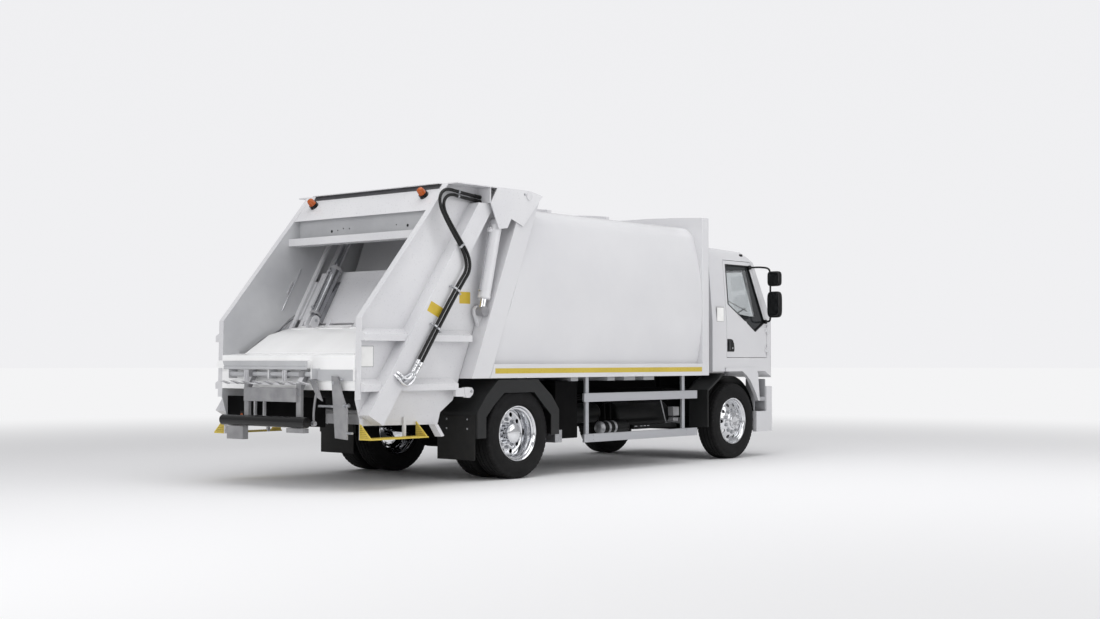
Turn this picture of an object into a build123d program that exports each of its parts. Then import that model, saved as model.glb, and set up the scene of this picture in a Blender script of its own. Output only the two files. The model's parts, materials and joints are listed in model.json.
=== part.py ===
# A two-axle rear-loading refuse truck: tilting cab, compaction body and a tailgate that lifts.
# Millimetres. X forward, Y to the truck's left, Z up, the ground at Z = 0.
from build123d import *
from math import cos, radians, sin, tan
import os

os.makedirs("parts", exist_ok=True)

# Wheels, axles and clearances
wheelbase = 4350
rear_axle_x = -1470
front_axle_x = rear_axle_x + wheelbase
tyre_radius = 490
tyre_width = 275
twin_gap = 50
axle_z = tyre_radius
rim_radius = 292
rim_well = 262
rim_wall = 14
front_tyre_face = 1133
rear_tyre_face = 1222
running_fit = 0.05
seat_gap = 0.3
joint_gap = 6
overrun = 400

# Chassis
rail_half = 425
rail_height = 250
rail_top = 930
rail_flange = 75
rail_web = 9
rail_rear = 770
rail_front = 700
cross_width = 70
cross_depth = 150
cross_x_shares = (0.02, 0.26, 0.53, 0.993)
sub_height = 160
sub_width = 80

# Body
body_half = 1250
sill_top = 1240
sill_bottom = rail_top + sub_height
sill_width = 120
body_front = 3600
frame_depth = 142
frame_width = 275
body_top = 3078
frame_crown = 40
body_wall = 8
bulge_half = body_half - 8
foot_half = body_half - 90
shoulder_half = body_half - 125
shoulder_z = body_top - 278
roof_half = body_half - 265
roof_edge_z = body_top - 120
roof_crown_z = body_top - 68
bulge_z = 2020
floor_wall = 8
roof_rib_width = 70
roof_rib_height = 45
roof_rib_shares = (0.22, 0.52)
post_half = body_half - 15
post_inner = body_half - 250
portal_foot = 1300
portal_header = 148
portal_head = body_top - portal_header

# Seam between body and tailgate: a plane that leans forward at the top
seam_lean = 22.5
seam_top_z = body_top + 2
seam_top_ahead = 60
seam_top_x = rear_axle_x + seam_top_ahead

# Tailgate
tail_half = body_half - 200
tail_wall = 12
tail_roof_z = body_top + 52
hinge_ahead = 120
hinge_z = body_top - 8
hinge_x = rear_axle_x + hinge_ahead
hinge_pin = 30
plate_face = body_half - 7
plate_wall = 12
hood_back = 1000
hood_low_back = 1250
hood_low_z = 2830
slant_foot_back = 2218
slant_foot_z = 1702
tail_back = 2232
tail_back_low_z = 894
heel_back = 2157
heel_z = 638
toe_back = 1090
toe_z = 620
toe_step_back = 1050
toe_step_z = 745
toe_top_z = 865

# Packing mechanism
pivot_back = 1240
pivot_z = 1600
pivot_x = rear_axle_x - pivot_back
pivot_shaft = 40
hub_radius = 65
blade_reach = 788
blade_rest = 199
blade_half = tail_half - 80
trough_radius = 800
trough_from = 198
trough_to = 292
guide_angle = 60
carriage_travel = 500
carriage_length = 750
carriage_wall = 60
ram_y = 620
ram_offset = 140
ram_radius = 65
ram_rod = 36
ram_low = 60
ram_high = 720
ram_anchor = 1300

# Lift cylinders
lift_y = tail_half + 115
lift_top_back = 310
lift_top_z = hinge_z - 310
lift_foot_back = 545
lift_foot_z = 1800
lift_barrel = 65
lift_rod = 35
lift_pin = 25
lift_eye = 52

# Bin lifter
lifter_back = 2300
lifter_z = 1140
lifter_left = 795
lifter_right = -530
lifter_shaft = 25
lifter_hub = 45
roller_radius = 55
roller_z = 665

# Cab
cab_half = 1100
cab_wall = 45
cab_back = 3900
cab_front = 5425
cab_floor_z = 1135
cab_nose_z = 1050
cab_roof_z = 2745
cab_pivot_ahead = 5285
cab_pivot_z = 985
door_wall = 50
door_gap = 6


def ahead(distance):
    """X of a place so far ahead of the rear axle."""
    return rear_axle_x + distance


def back(distance):
    """X of a place so far behind the rear axle."""
    return rear_axle_x - distance


def seam_x(z):
    """X of the seam plane at a height."""
    return seam_top_x - (seam_top_z - z) * tan(radians(seam_lean))


def xz_plane(y):
    """Side-view plane whose sketches extrude towards -Y."""
    return Plane.XZ.offset(-y)


def outer_y(side, inner, outer):
    """The higher Y of a slab between two half widths on one side."""
    return max(side * inner, side * outer)


def slab(side, inner, outer, points, mode=Mode.ADD):
    """A side-view outline given thickness between two half widths."""
    with BuildSketch(xz_plane(outer_y(side, inner, outer))) as outline:
        with BuildLine():
            Polyline(points, close=True)
        make_face()
    extrude(outline.sketch, amount=abs(outer - inner), mode=mode)


def across(half, points, mode=Mode.ADD):
    """A side-view outline carried from one side of the truck to the other."""
    slab(1, -half, half, points, mode)


def block(x_range, y_range, z_range, mode=Mode.ADD):
    """A square-edged bar between two corners."""
    centre = [(low + high) / 2 for low, high in (x_range, y_range, z_range)]
    with Locations(tuple(centre)):
        Box(
            abs(x_range[1] - x_range[0]),
            abs(y_range[1] - y_range[0]),
            abs(z_range[1] - z_range[0]),
            mode=mode,
        )


def rod_y(x, z, radius, y_from, y_to, mode=Mode.ADD):
    """A round bar across the truck."""
    with BuildSketch(xz_plane(max(y_from, y_to))) as disc:
        with Locations((x, z)):
            Circle(radius)
    extrude(disc.sketch, amount=abs(y_to - y_from), mode=mode)


def rod_x(y, z, radius, x_from, x_to, mode=Mode.ADD):
    """A round bar along the truck."""
    with BuildSketch(Plane.YZ.offset(min(x_from, x_to))) as disc:
        with Locations((y, z)):
            Circle(radius)
    extrude(disc.sketch, amount=abs(x_to - x_from), mode=mode)


def rod_z(x, y, radius, z_from, z_to, mode=Mode.ADD):
    """A round upright bar."""
    with BuildSketch(Plane.XY.offset(min(z_from, z_to))) as disc:
        with Locations((x, y)):
            Circle(radius)
    extrude(disc.sketch, amount=abs(z_to - z_from), mode=mode)


def rod_between(start, end, radius, mode=Mode.ADD):
    """A round bar from one point to another in a side-view plane."""
    run = Vector(*end) - Vector(*start)
    with BuildSketch(Plane(origin=start, x_dir=(0, 1, 0), z_dir=run)) as disc:
        Circle(radius)
    extrude(disc.sketch, amount=run.length, mode=mode)


def save(builder, name):
    """Label a finished piece and write it."""
    builder.part.label = name
    export_step(builder.part, f"parts/{name}.step")


SIDES = (("left", 1), ("right", -1))

# Ladder frame: two channel rails and the cross members between them
with BuildPart() as chassis_frame:
    rail_span = (back(rail_rear), front_axle_x + rail_front)
    for side in (1, -1):
        with BuildSketch(Plane.YZ.offset(rail_span[0])) as channel:
            with Locations((side * (rail_half - rail_flange / 2), rail_top - rail_height / 2)):
                Rectangle(rail_flange, rail_height)
            with Locations(
                (side * (rail_half - rail_web - rail_flange / 2), rail_top - rail_height / 2)
            ):
                Rectangle(rail_flange, rail_height - 2 * rail_web, mode=Mode.SUBTRACT)
        extrude(channel.sketch, amount=rail_span[1] - rail_span[0])
    web_inner = rail_half - rail_web
    for share in cross_x_shares:
        middle = rail_span[0] + share * (rail_span[1] - rail_span[0])
        low = rail_top - rail_height / 2 - cross_depth / 2
        block(
            (middle - cross_width / 2, middle + cross_width / 2),
            (-web_inner, web_inner),
            (low, low + cross_depth),
        )
save(chassis_frame, "chassis_frame")

# Body underframe: two runners along the rails and outriggers under the body sills
outrigger_share = (0.12, 0.37, 0.62, 0.88)
outrigger_width = 80
with BuildPart() as subframe:
    runner = (seam_x(sill_bottom) + joint_gap * 2, ahead(body_front))
    for side in (1, -1):
        block(
            runner,
            (side * (rail_half - sub_width), side * rail_half),
            (rail_top, sill_bottom),
        )
    for share in outrigger_share:
        middle = runner[0] + share * (runner[1] - runner[0])
        block(
            (middle - outrigger_width / 2, middle + outrigger_width / 2),
            (-rail_half, rail_half),
            (rail_top + sub_height / 2, sill_bottom),
        )
save(subframe, "subframe")

# Front axle: a dropped beam with an upright eye at each end for the kingpin
kingpin_half = 870
kingpin_radius = 22
eye_radius = 48
eye_height = 130
beam_width = 90
beam_height = 78
beam_drop = 95
beam_flat_half = 520
spring_half = 385
spring_width = 75
with BuildPart() as front_axle:
    beam_z = axle_z - beam_drop
    with BuildSketch(Plane.YZ.offset(front_axle_x - beam_width / 2)) as beam:
        with BuildLine():
            Polyline(
                (-kingpin_half, axle_z - beam_height / 2),
                (-beam_flat_half, beam_z - beam_height / 2),
                (beam_flat_half, beam_z - beam_height / 2),
                (kingpin_half, axle_z - beam_height / 2),
                (kingpin_half, axle_z + beam_height / 2),
                (beam_flat_half, beam_z + beam_height / 2),
                (-beam_flat_half, beam_z + beam_height / 2),
                (-kingpin_half, axle_z + beam_height / 2),
                close=True,
            )
        make_face()
    extrude(beam.sketch, amount=beam_width)
    for side in (1, -1):
        rod_z(
            front_axle_x, side * kingpin_half, eye_radius,
            axle_z - eye_height / 2, axle_z + eye_height / 2,
        )
    for side in (1, -1):
        rod_z(
            front_axle_x, side * kingpin_half, kingpin_radius + running_fit,
            axle_z - eye_height, axle_z + eye_height, Mode.SUBTRACT,
        )
save(front_axle, "front_axle")

# Knuckles: a yoke round the axle's eye, the kingpin, and the stub that carries the wheel
yoke_wall = 28
yoke_gap = 1
stub_radius = 40
yoke_half = 60
front_wheel_y = front_tyre_face - tyre_width / 2
stub_end = front_wheel_y + 95
for name, side in SIDES:
    with BuildPart() as knuckle:
        pin_y = side * kingpin_half
        for top in (1, -1):
            face = axle_z + top * (eye_height / 2 + yoke_gap)
            block(
                (front_axle_x - yoke_half, front_axle_x + yoke_half),
                (pin_y - side * yoke_half, pin_y + side * (yoke_half + yoke_wall)),
                (min(face, face + top * yoke_wall), max(face, face + top * yoke_wall)),
            )
        yoke_top = eye_height / 2 + yoke_gap + yoke_wall
        block(
            (front_axle_x - yoke_half, front_axle_x + yoke_half),
            (pin_y + side * yoke_half, pin_y + side * (yoke_half + yoke_wall)),
            (axle_z - yoke_top, axle_z + yoke_top),
        )
        rod_z(front_axle_x, pin_y, kingpin_radius, axle_z - yoke_top, axle_z + yoke_top)
        rod_y(front_axle_x, axle_z, stub_radius, pin_y + side * yoke_half, side * stub_end)
    save(knuckle, f"knuckle_{name}")

# Rear axle: casing, differential and the shaft from the gearbox
casing_radius = 65
bowl_radius = 185
bowl_half = 150
nose_radius = 80
nose_ahead = 330
shaft_radius = 42
gearbox_rear = 3200
rear_wheel_outer = rear_tyre_face - tyre_width / 2
rear_wheel_inner = rear_wheel_outer - tyre_width - twin_gap
rear_stub_end = rear_wheel_outer - 10 * running_fit
with BuildPart() as rear_axle:
    rod_y(rear_axle_x, axle_z, stub_radius, -rear_stub_end, rear_stub_end)
    rod_y(rear_axle_x, axle_z, casing_radius, -rail_half, rail_half)
    rod_y(rear_axle_x, axle_z, bowl_radius, -bowl_half, bowl_half)
    rod_x(0, axle_z, nose_radius, rear_axle_x, ahead(nose_ahead))
    rod_x(0, axle_z, shaft_radius, ahead(nose_ahead), ahead(gearbox_rear) - seat_gap)
save(rear_axle, "rear_axle")

# Leaf springs: an arched pack under each rail, seated on its axle and hung from the rail
spring_half_length = 720
spring_wall = 55
hanger_width = 60
with BuildPart() as springs:
    rail_under = rail_top - rail_height
    seats = (
        (front_axle_x, axle_z - beam_drop + beam_height / 2),
        (rear_axle_x, axle_z + casing_radius),
    )
    for axle_x, seat_z in seats:
        arch = (rail_under - seat_z) * 0.35
        for side in (1, -1):
            with BuildSketch(xz_plane(side * spring_half + spring_width / 2)) as leaves:
                with BuildLine():
                    low = seat_z + arch
                    ThreePointArc(
                        (axle_x - spring_half_length, rail_under - arch),
                        (axle_x, low),
                        (axle_x + spring_half_length, rail_under - arch),
                    )
                    Line(
                        (axle_x + spring_half_length, rail_under - arch),
                        (axle_x + spring_half_length, rail_under),
                    )
                    Line(
                        (axle_x + spring_half_length, rail_under),
                        (axle_x + spring_half_length - hanger_width, rail_under),
                    )
                    ThreePointArc(
                        (axle_x + spring_half_length - hanger_width, rail_under),
                        (axle_x, low + spring_wall),
                        (axle_x - spring_half_length + hanger_width, rail_under),
                    )
                    Line(
                        (axle_x - spring_half_length + hanger_width, rail_under),
                        (axle_x - spring_half_length, rail_under),
                    )
                    Line(
                        (axle_x - spring_half_length, rail_under),
                        (axle_x - spring_half_length, rail_under - arch),
                    )
                make_face()
            extrude(leaves.sketch, amount=spring_width)
            block(
                (axle_x - spring_width, axle_x + spring_width),
                (side * spring_half - spring_width / 2, side * spring_half + spring_width / 2),
                (seat_z + seat_gap, low + spring_wall / 2),
            )
save(springs, "springs")

# Engine and gearbox under the cab
engine_rear = 3850
engine_front = 4950
engine_half = 290
engine_bottom = 560
engine_top = 1090
foot_height = 60
gearbox_half = 190
gearbox_bottom = 400
gearbox_top = 940
with BuildPart() as engine:
    block(
        (ahead(engine_rear), ahead(engine_front)), (-engine_half, engine_half),
        (engine_bottom, engine_top),
    )
    block(
        (ahead(gearbox_rear), ahead(engine_rear)), (-gearbox_half, gearbox_half),
        (gearbox_bottom, gearbox_top),
    )
    foot_z = rail_top - rail_height / 2
    for foot_x in (ahead(engine_rear) + foot_height, ahead(engine_front) - foot_height):
        block(
            (foot_x - foot_height, foot_x + foot_height), (-web_inner, web_inner),
            (foot_z - foot_height / 2, foot_z + foot_height / 2),
        )
save(engine, "engine")

# Tanks and boxes hung on the rails
hung_face = rail_half + seat_gap
tank_span = (1300, 2500)
tank_outer = body_half - 160
tank_z = (390, 900)
tank_round = 90
with BuildPart() as fuel_tank:
    block((ahead(tank_span[0]), ahead(tank_span[1])), (hung_face, tank_outer), tank_z)
    fillet(fuel_tank.edges().filter_by(Axis.X), radius=tank_round)
save(fuel_tank, "fuel_tank")

box_span = (690, 1085)
box_outer = body_half - 100
box_z = (400, 1050)
with BuildPart() as tool_box:
    block((ahead(box_span[0]), ahead(box_span[1])), (-box_outer, -hung_face), box_z)
save(tool_box, "tool_box")

air_span = (1250, 1840)
air_radius = 118
air_y = -800
air_z = 660
strap_width = 50
with BuildPart() as air_tank:
    rod_x(air_y, air_z, air_radius, ahead(air_span[0]), ahead(air_span[1]))
    fillet(air_tank.edges().filter_by(GeomType.CIRCLE), radius=air_radius / 2)
    for strap_x in (ahead(air_span[0]) + air_radius, ahead(air_span[1]) - air_radius):
        block(
            (strap_x - strap_width / 2, strap_x + strap_width / 2), (air_y, -hung_face),
            (rail_top - rail_height, rail_top - rail_height / 2),
        )
save(air_tank, "air_tank")

silencer_rear = 2080
silencer_long = 1080
silencer_span = (silencer_rear, silencer_rear + silencer_long)
silencer_radius = 165
silencer_y = -800
silencer_z = 610
pipe_radius = 50
with BuildPart() as silencer:
    rod_x(
        silencer_y, silencer_z, silencer_radius, ahead(silencer_span[0]), ahead(silencer_span[1])
    )
    fillet(silencer.edges().filter_by(GeomType.CIRCLE), radius=silencer_radius / 4)
    rod_x(
        silencer_y, silencer_z, pipe_radius, ahead(silencer_span[1]),
        ahead(silencer_span[1]) + silencer_radius * 2,
    )
    for strap_x in (ahead(silencer_span[0]) + air_radius, ahead(silencer_span[1]) - air_radius):
        block(
            (strap_x - strap_width / 2, strap_x + strap_width / 2), (silencer_y, -hung_face),
            (rail_top - rail_height, rail_top - rail_height / 2),
        )
save(silencer, "silencer")

# Side guards: two rails on posts that hang from the body sill
guard_span = (1119, 3371)
guard_outer = body_half - 25
guard_wall = 32
guard_rails = ((345, 440), (805, 905))
guard_posts = (1180, 3085)
guard_post_width = 58
for name, side in SIDES:
    with BuildPart() as side_guard:
        for low, high in guard_rails:
            block(
                (ahead(guard_span[0]), ahead(guard_span[1])),
                (side * (guard_outer - guard_wall), side * guard_outer),
                (low, high),
            )
        for post in guard_posts:
            block(
                (ahead(post), ahead(post) + guard_post_width),
                (side * (guard_outer - 2 * guard_wall), side * (guard_outer - guard_wall)),
                (guard_rails[0][0], sill_bottom - seat_gap),
            )
    save(side_guard, f"side_guard_{name}")

# Rear mudguards: a faceted arch over the twin wheels with a deep outer rim
fender_inner = 640
fender_outer = body_half - 10
fender_wall = 12
fender_top = 1075
# X from the axle as a share of the half length, Z as a share of the height, outer then inner edge
fender_half = 685
fender_low = 460
outer_shares = (
    (-1, 0), (-1, 0.45), (-0.81, 0.72), (-0.52, 1), (0.42, 1), (0.77, 0.70), (0.95, 0.45), (0.95, 0),
)
inner_shares = (
    (-0.80, 0), (-0.80, 0.36), (-0.62, 0.56), (-0.38, 0.77), (0.33, 0.77), (0.58, 0.52),
    (0.75, 0.36), (0.75, 0),
)


def fender_line(shares, inset=0):
    """Points of one edge of the mudguard in side view, drawn in by a thickness."""
    return [
        (
            rear_axle_x + along * (fender_half - inset),
            fender_low + up * (fender_top - inset - fender_low),
        )
        for along, up in shares
    ]


for name, side in SIDES:
    with BuildPart() as rear_fender:
        slab(side, fender_inner, fender_outer, fender_line(outer_shares))
        skin = fender_line(outer_shares, fender_wall)
        skin[0] = (skin[0][0], skin[0][1] - overrun)
        skin[-1] = (skin[-1][0], skin[-1][1] - overrun)
        slab(side, fender_inner, fender_outer - fender_wall, skin, Mode.SUBTRACT)
        mouth = fender_line(inner_shares)
        mouth[0] = (mouth[0][0], mouth[0][1] - overrun)
        mouth[-1] = (mouth[-1][0], mouth[-1][1] - overrun)
        slab(side, fender_inner, fender_outer + fender_wall, mouth, Mode.SUBTRACT)
        hanger_x = (rear_axle_x - strap_width, rear_axle_x + strap_width)
        block(
            hanger_x, (side * (body_half - sill_width), side * (fender_outer - fender_wall)),
            (fender_top - fender_wall, sill_bottom - seat_gap),
        )
    save(rear_fender, f"rear_fender_{name}")

# Mud flaps behind the twin wheels
flap_inner = 660
flap_outer = fender_outer - 30
flap_wall = 8
flap_low = 230
flap_high = 700
with BuildPart() as mud_flaps:
    flap_face = rear_axle_x - fender_half - seat_gap
    for side in (1, -1):
        block(
            (flap_face - flap_wall, flap_face), (side * flap_inner, side * flap_outer),
            (flap_low, flap_high),
        )
save(mud_flaps, "mud_flaps")

# Guards behind the front wheels, carried on arms from the rails
guard_back = 640
guard_inner_y = 860
guard_outer_y = 1150
splash_wall = 22
# X behind the axle as a share of guard_back, then height above the ground
splash_low = 430
splash_bend = 905
splash_top = 1115
splash_front_share = 0.42
with BuildPart() as front_guards:
    for side in (1, -1):
        rear_x = front_axle_x - guard_back
        fore_x = front_axle_x - guard_back * splash_front_share
        slab(side, guard_inner_y, guard_outer_y, [
            (rear_x, splash_low), (rear_x, splash_bend), (fore_x, splash_top),
            (fore_x, splash_top - splash_wall), (rear_x + splash_wall, splash_bend - splash_wall),
            (rear_x + splash_wall, splash_low),
        ])
        block(
            (rear_x, rear_x + splash_wall), (side * hung_face, side * guard_inner_y),
            (rail_top - rail_height / 2, rail_top - 2 * rail_web),
        )
save(front_guards, "front_guards")

# Body floor and sills
with BuildPart() as body_floor:
    sill_front = ahead(body_front) - frame_depth
    for side in (1, -1):
        inner = body_half - sill_width
        slab(side, inner, body_half, [
            (seam_x(sill_bottom) + frame_width, sill_bottom), (sill_front, sill_bottom),
            (sill_front, sill_top), (seam_x(sill_top) + frame_width, sill_top),
        ])
    slab(1, -inner, inner, [
        (seam_x(sill_bottom) + frame_width, sill_bottom), (sill_front, sill_bottom),
        (sill_front, sill_top), (seam_x(sill_top) + frame_width, sill_top),
    ])
    for side in (1, -1):
        block(
            (seam_x(sill_top) + frame_width + overrun, sill_front - overrun),
            (side * (rail_half + sub_width), side * (inner - floor_wall)),
            (sill_bottom, sill_top - floor_wall), Mode.SUBTRACT,
        )
save(body_floor, "body_floor")


def body_section(inset):
    """The body's bulged section, drawn in by a wall."""
    with BuildSketch(Plane.YZ.offset(back(overrun * 3))) as section:
        with BuildLine():
            foot = (foot_half - inset, sill_top)
            shoulder = (shoulder_half - inset, shoulder_z)
            eave = (roof_half - inset / 2, roof_edge_z - inset)
            flank = ThreePointArc(foot, (bulge_half - inset, bulge_z), shoulder)
            TangentArc(shoulder, eave, tangent=flank % 1)
            ThreePointArc(eave, (0, roof_crown_z - inset), (-eave[0], eave[1]))
            other = ThreePointArc(
                (-foot[0], foot[1]), (-(bulge_half - inset), bulge_z), (-shoulder[0], shoulder[1])
            )
            TangentArc((-shoulder[0], shoulder[1]), (-eave[0], eave[1]), tangent=other % 1)
            Line(foot, (-foot[0], foot[1]))
        make_face()
    return section.sketch


# Body sides and roof: one bulged shell, parted at the roof's edges
seam_front = Plane(
    origin=(seam_x(sill_top) + frame_width, 0, sill_top),
    x_dir=(0, 1, 0),
    z_dir=(cos(radians(seam_lean)), 0, -sin(radians(seam_lean))),
)
roof_part_half = roof_half - 2 * body_wall
for name, low_y, high_y in (
    ("body_side_left", roof_part_half, body_half),
    ("body_side_right", -body_half, -roof_part_half),
    ("body_roof", -roof_part_half, roof_part_half),
):
    with BuildPart() as panel:
        extrude(body_section(0), amount=body_front + overrun * 3 - frame_depth)
        extrude(
            body_section(body_wall), amount=body_front + overrun * 3 - frame_depth,
            mode=Mode.SUBTRACT,
        )
        split(bisect_by=seam_front, keep=Keep.TOP)
        with Locations(((back(0) + body_front / 2), (low_y + high_y) / 2, body_top / 2 + sill_top)):
            Box(
                2 * wheelbase, high_y - low_y, body_top, mode=Mode.INTERSECT
            )
        if name == "body_roof":
            for share in roof_rib_shares:
                rib_x = ahead(body_front * share + seam_top_ahead)
                with BuildSketch(Plane.YZ.offset(rib_x)) as rib:
                    with BuildLine():
                        rib_half = roof_part_half - roof_rib_width
                        Line((-rib_half, roof_edge_z), (-rib_half, roof_edge_z + roof_rib_height))
                        ThreePointArc(
                            (-rib_half, roof_edge_z + roof_rib_height),
                            (0, roof_crown_z + roof_rib_height),
                            (rib_half, roof_edge_z + roof_rib_height),
                        )
                        Line((rib_half, roof_edge_z + roof_rib_height), (rib_half, roof_edge_z))
                        ThreePointArc(
                            (rib_half, roof_edge_z), (0, roof_crown_z - body_wall / 2),
                            (-rib_half, roof_edge_z),
                        )
                    make_face()
                extrude(rib.sketch, amount=roof_rib_width)
    save(panel, name)

# Front frame of the body: a deep rim round the front wall
rim_width = 90
with BuildPart() as body_front_frame:
    with BuildSketch(Plane.YZ.offset(ahead(body_front) - frame_depth)) as rim:
        with BuildLine():
            Line((-body_half, sill_bottom), (body_half, sill_bottom))
            Line((body_half, sill_bottom), (body_half, body_top))
            ThreePointArc(
                (body_half, body_top), (0, body_top + frame_crown), (-body_half, body_top)
            )
            Line((-body_half, body_top), (-body_half, sill_bottom))
        make_face()
    extrude(rim.sketch, amount=frame_depth)
    block(
        (ahead(body_front) - body_wall * 2, ahead(body_front) + overrun),
        (-body_half + rim_width, body_half - rim_width),
        (sill_top + rim_width, body_top - rim_width), Mode.SUBTRACT,
    )
    block(
        (ahead(body_front) - frame_depth - overrun, ahead(body_front) - body_wall * 3),
        (-post_inner, post_inner), (portal_foot, portal_head), Mode.SUBTRACT,
    )
save(body_front_frame, "body_front_frame")

# Rear frame of the body: a portal that leans with the seam, with hinge pins and cylinder lugs
lug_inner = lift_y - 81
lug_outer = lift_y - 41
lug_round = 55
hinge_head = 45
with BuildPart() as body_rear_frame:
    with BuildSketch(Plane.YZ.offset(back(overrun * 3))) as portal:
        with Locations((0, (sill_bottom + body_top) / 2)):
            Rectangle(2 * post_half, body_top - sill_bottom)
        with Locations((0, (portal_foot + portal_head) / 2)):
            Rectangle(2 * post_inner, portal_head - portal_foot, mode=Mode.SUBTRACT)
    extrude(portal.sketch, amount=overrun * 5)
    split(bisect_by=seam_front, keep=Keep.BOTTOM)
    split(
        bisect_by=Plane(
            origin=(seam_x(sill_top), 0, sill_top), x_dir=(0, 1, 0),
            z_dir=(cos(radians(seam_lean)), 0, -sin(radians(seam_lean))),
        ),
        keep=Keep.TOP,
    )
    lift_foot_x = back(lift_foot_back)
    for side in (1, -1):
        root_z = (lift_foot_z - 3 * lug_round, lift_foot_z + 2 * lug_round)
        slab(side, lug_inner, lug_outer, [
            (seam_x(root_z[0]) + lug_round, root_z[0]), (seam_x(root_z[0]), root_z[0]),
            (lift_foot_x - lug_round, lift_foot_z - lug_round / 2),
            (lift_foot_x - lug_round, lift_foot_z + lug_round / 2),
            (lift_foot_x - lug_round / 2, lift_foot_z + lug_round),
            (seam_x(root_z[1]) + lug_round, root_z[1]),
        ])
        rod_y(
            hinge_x, hinge_z, hinge_pin, side * post_half,
            side * (plate_face + plate_wall + 2 * seat_gap),
        )
        rod_y(
            hinge_x, hinge_z, hinge_head, side * (plate_face + plate_wall + 2 * seat_gap),
            side * (plate_face + 2 * plate_wall),
        )
        block(
            (hinge_x - hinge_head, hinge_x + hinge_head), (side * post_inner, side * post_half),
            (body_top - frame_crown, body_top),
        )
save(body_rear_frame, "body_rear_frame")

# Wheels: tyre and rim for each corner, twin at the rear
tread_round = 22
bead_half = 105
hub_front = 92
hub_wall = 26
disc_wall = 12
hand_holes = 10
hand_radius = 27
hand_circle = 190


def tyre_profile(middle):
    """Half section of a tyre about the wheel's axis, as radius against width."""
    half = tyre_width / 2
    return [
        (rim_radius, middle - bead_half),
        (rim_radius + (tyre_radius - rim_radius) * 0.45, middle - half),
        (tyre_radius - tread_round * 1.6, middle - half * 0.94),
        (tyre_radius, middle - half * 0.80),
        (tyre_radius, middle + half * 0.80),
        (tyre_radius - tread_round * 1.6, middle + half * 0.94),
        (rim_radius + (tyre_radius - rim_radius) * 0.45, middle + half),
        (rim_radius, middle + bead_half),
    ]


def wheel_plane(axle_x):
    """A plane through the wheel's axis: local x is the radius, local y runs along +Y."""
    return Plane(origin=(axle_x, 0, axle_z), x_dir=(1, 0, 0), z_dir=(0, 0, 1))


def turn(axle_x, points, mode=Mode.ADD):
    """A ring turned about the wheel's axis."""
    with BuildSketch(wheel_plane(axle_x)) as section:
        with BuildLine():
            Polyline(points, close=True)
        make_face()
    revolve(section.sketch, axis=Axis((axle_x, 0, axle_z), (0, 1, 0)), mode=mode)


def rim_points(side, middle, disc_y):
    """Rim barrel with a disc at one place along its width."""
    inner = rim_radius - rim_wall
    return [
        (inner, middle - side * bead_half), (rim_radius, middle - side * bead_half),
        (rim_radius, middle + side * bead_half), (inner, middle + side * bead_half),
        (rim_well, disc_y + side * disc_wall), (hub_front, disc_y + side * disc_wall),
        (hub_front, disc_y), (rim_well, disc_y),
    ]


corners = (
    ("front_left", 1, front_axle_x, (front_wheel_y,)),
    ("front_right", -1, front_axle_x, (front_wheel_y,)),
    ("rear_left", 1, rear_axle_x, (rear_wheel_outer, rear_wheel_inner)),
    ("rear_right", -1, rear_axle_x, (rear_wheel_outer, rear_wheel_inner)),
)
front_disc_share = 0.55
rear_disc_share = -0.35
for name, side, axle_x, middles in corners:
    front = len(middles) == 1
    with BuildPart() as tyre:
        for middle in middles:
            turn(axle_x, tyre_profile(side * middle))
    save(tyre, f"tyre_{name}")
    with BuildPart() as rim:
        for middle in middles:
            share = front_disc_share if front else rear_disc_share
            if middle == rear_wheel_inner:
                share = -rear_disc_share
            disc_y = side * (middle + share * tyre_width / 2)
            turn(axle_x, rim_points(side, side * middle, disc_y))
        outer = side * (middles[0] + (front_disc_share if front else rear_disc_share)
                        * tyre_width / 2)
        hub_back = side * (middles[-1] - tyre_width / 4)
        if front:
            hub_back = side * (kingpin_half + yoke_half + yoke_wall + joint_gap)
        hub_nose = outer + side * hub_front * (0.9 if front else 1.2)
        rod_y(axle_x, axle_z, hub_front + disc_wall, hub_back, outer + side * disc_wall)
        rod_y(axle_x, axle_z, hub_front * 0.85, outer, hub_nose)
        with BuildSketch(
            Plane(origin=(axle_x, outer - side * 2 * disc_wall, axle_z), x_dir=(1, 0, 0),
                  z_dir=(0, side, 0))
        ) as holes:
            with PolarLocations(hand_circle, hand_holes):
                Circle(hand_radius)
        extrude(holes.sketch, amount=5 * disc_wall, mode=Mode.SUBTRACT)
        stub = stub_end if front else rear_stub_end
        rod_y(
            axle_x, axle_z, stub_radius + running_fit, hub_back - side * overrun,
            side * (stub + seat_gap), Mode.SUBTRACT,
        )
    save(rim, f"rim_{name}")

# Tailgate sides: sheet, ribs, diagonal beam, edge flanges and the hinge plate
rib_outer = tail_half + 120
flange_outer = tail_half + 62
beam_outer = tail_half + 148
beam_run = 250
beam_slope = 1.40
beam_foot_back = 2195
beam_foot_z = 746
beam_head_z = 2950
rib_rows = ((1475, 1570, 690), (975, 1070, 900))
rib_bevel = 30
flange_wall = 12
guide_inner = tail_half - 65
guide_wall = 28
guide_half = 62
shelf_outer = plate_face + plate_wall
# Hinge plate outline: distance behind the rear axle (negative is ahead) and height
plate_corners = (
    (495, 2953), (384, 3130), (-141, 3130), (-354, 3091), (-25, 2734), (170, 2805), (232, 2701),
    (365, 2680),
)


def seam_back(z, gap=0):
    """X of the tailgate's front edge at a height."""
    return seam_x(z) - gap / cos(radians(seam_lean))


def on_guide(along, offset=0):
    """A point measured up the guide from the blade's pivot, and square to it to the rear."""
    angle = radians(guide_angle)
    return (
        pivot_x + along * cos(angle) - offset * sin(angle),
        pivot_z + along * sin(angle) + offset * cos(angle),
    )


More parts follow.
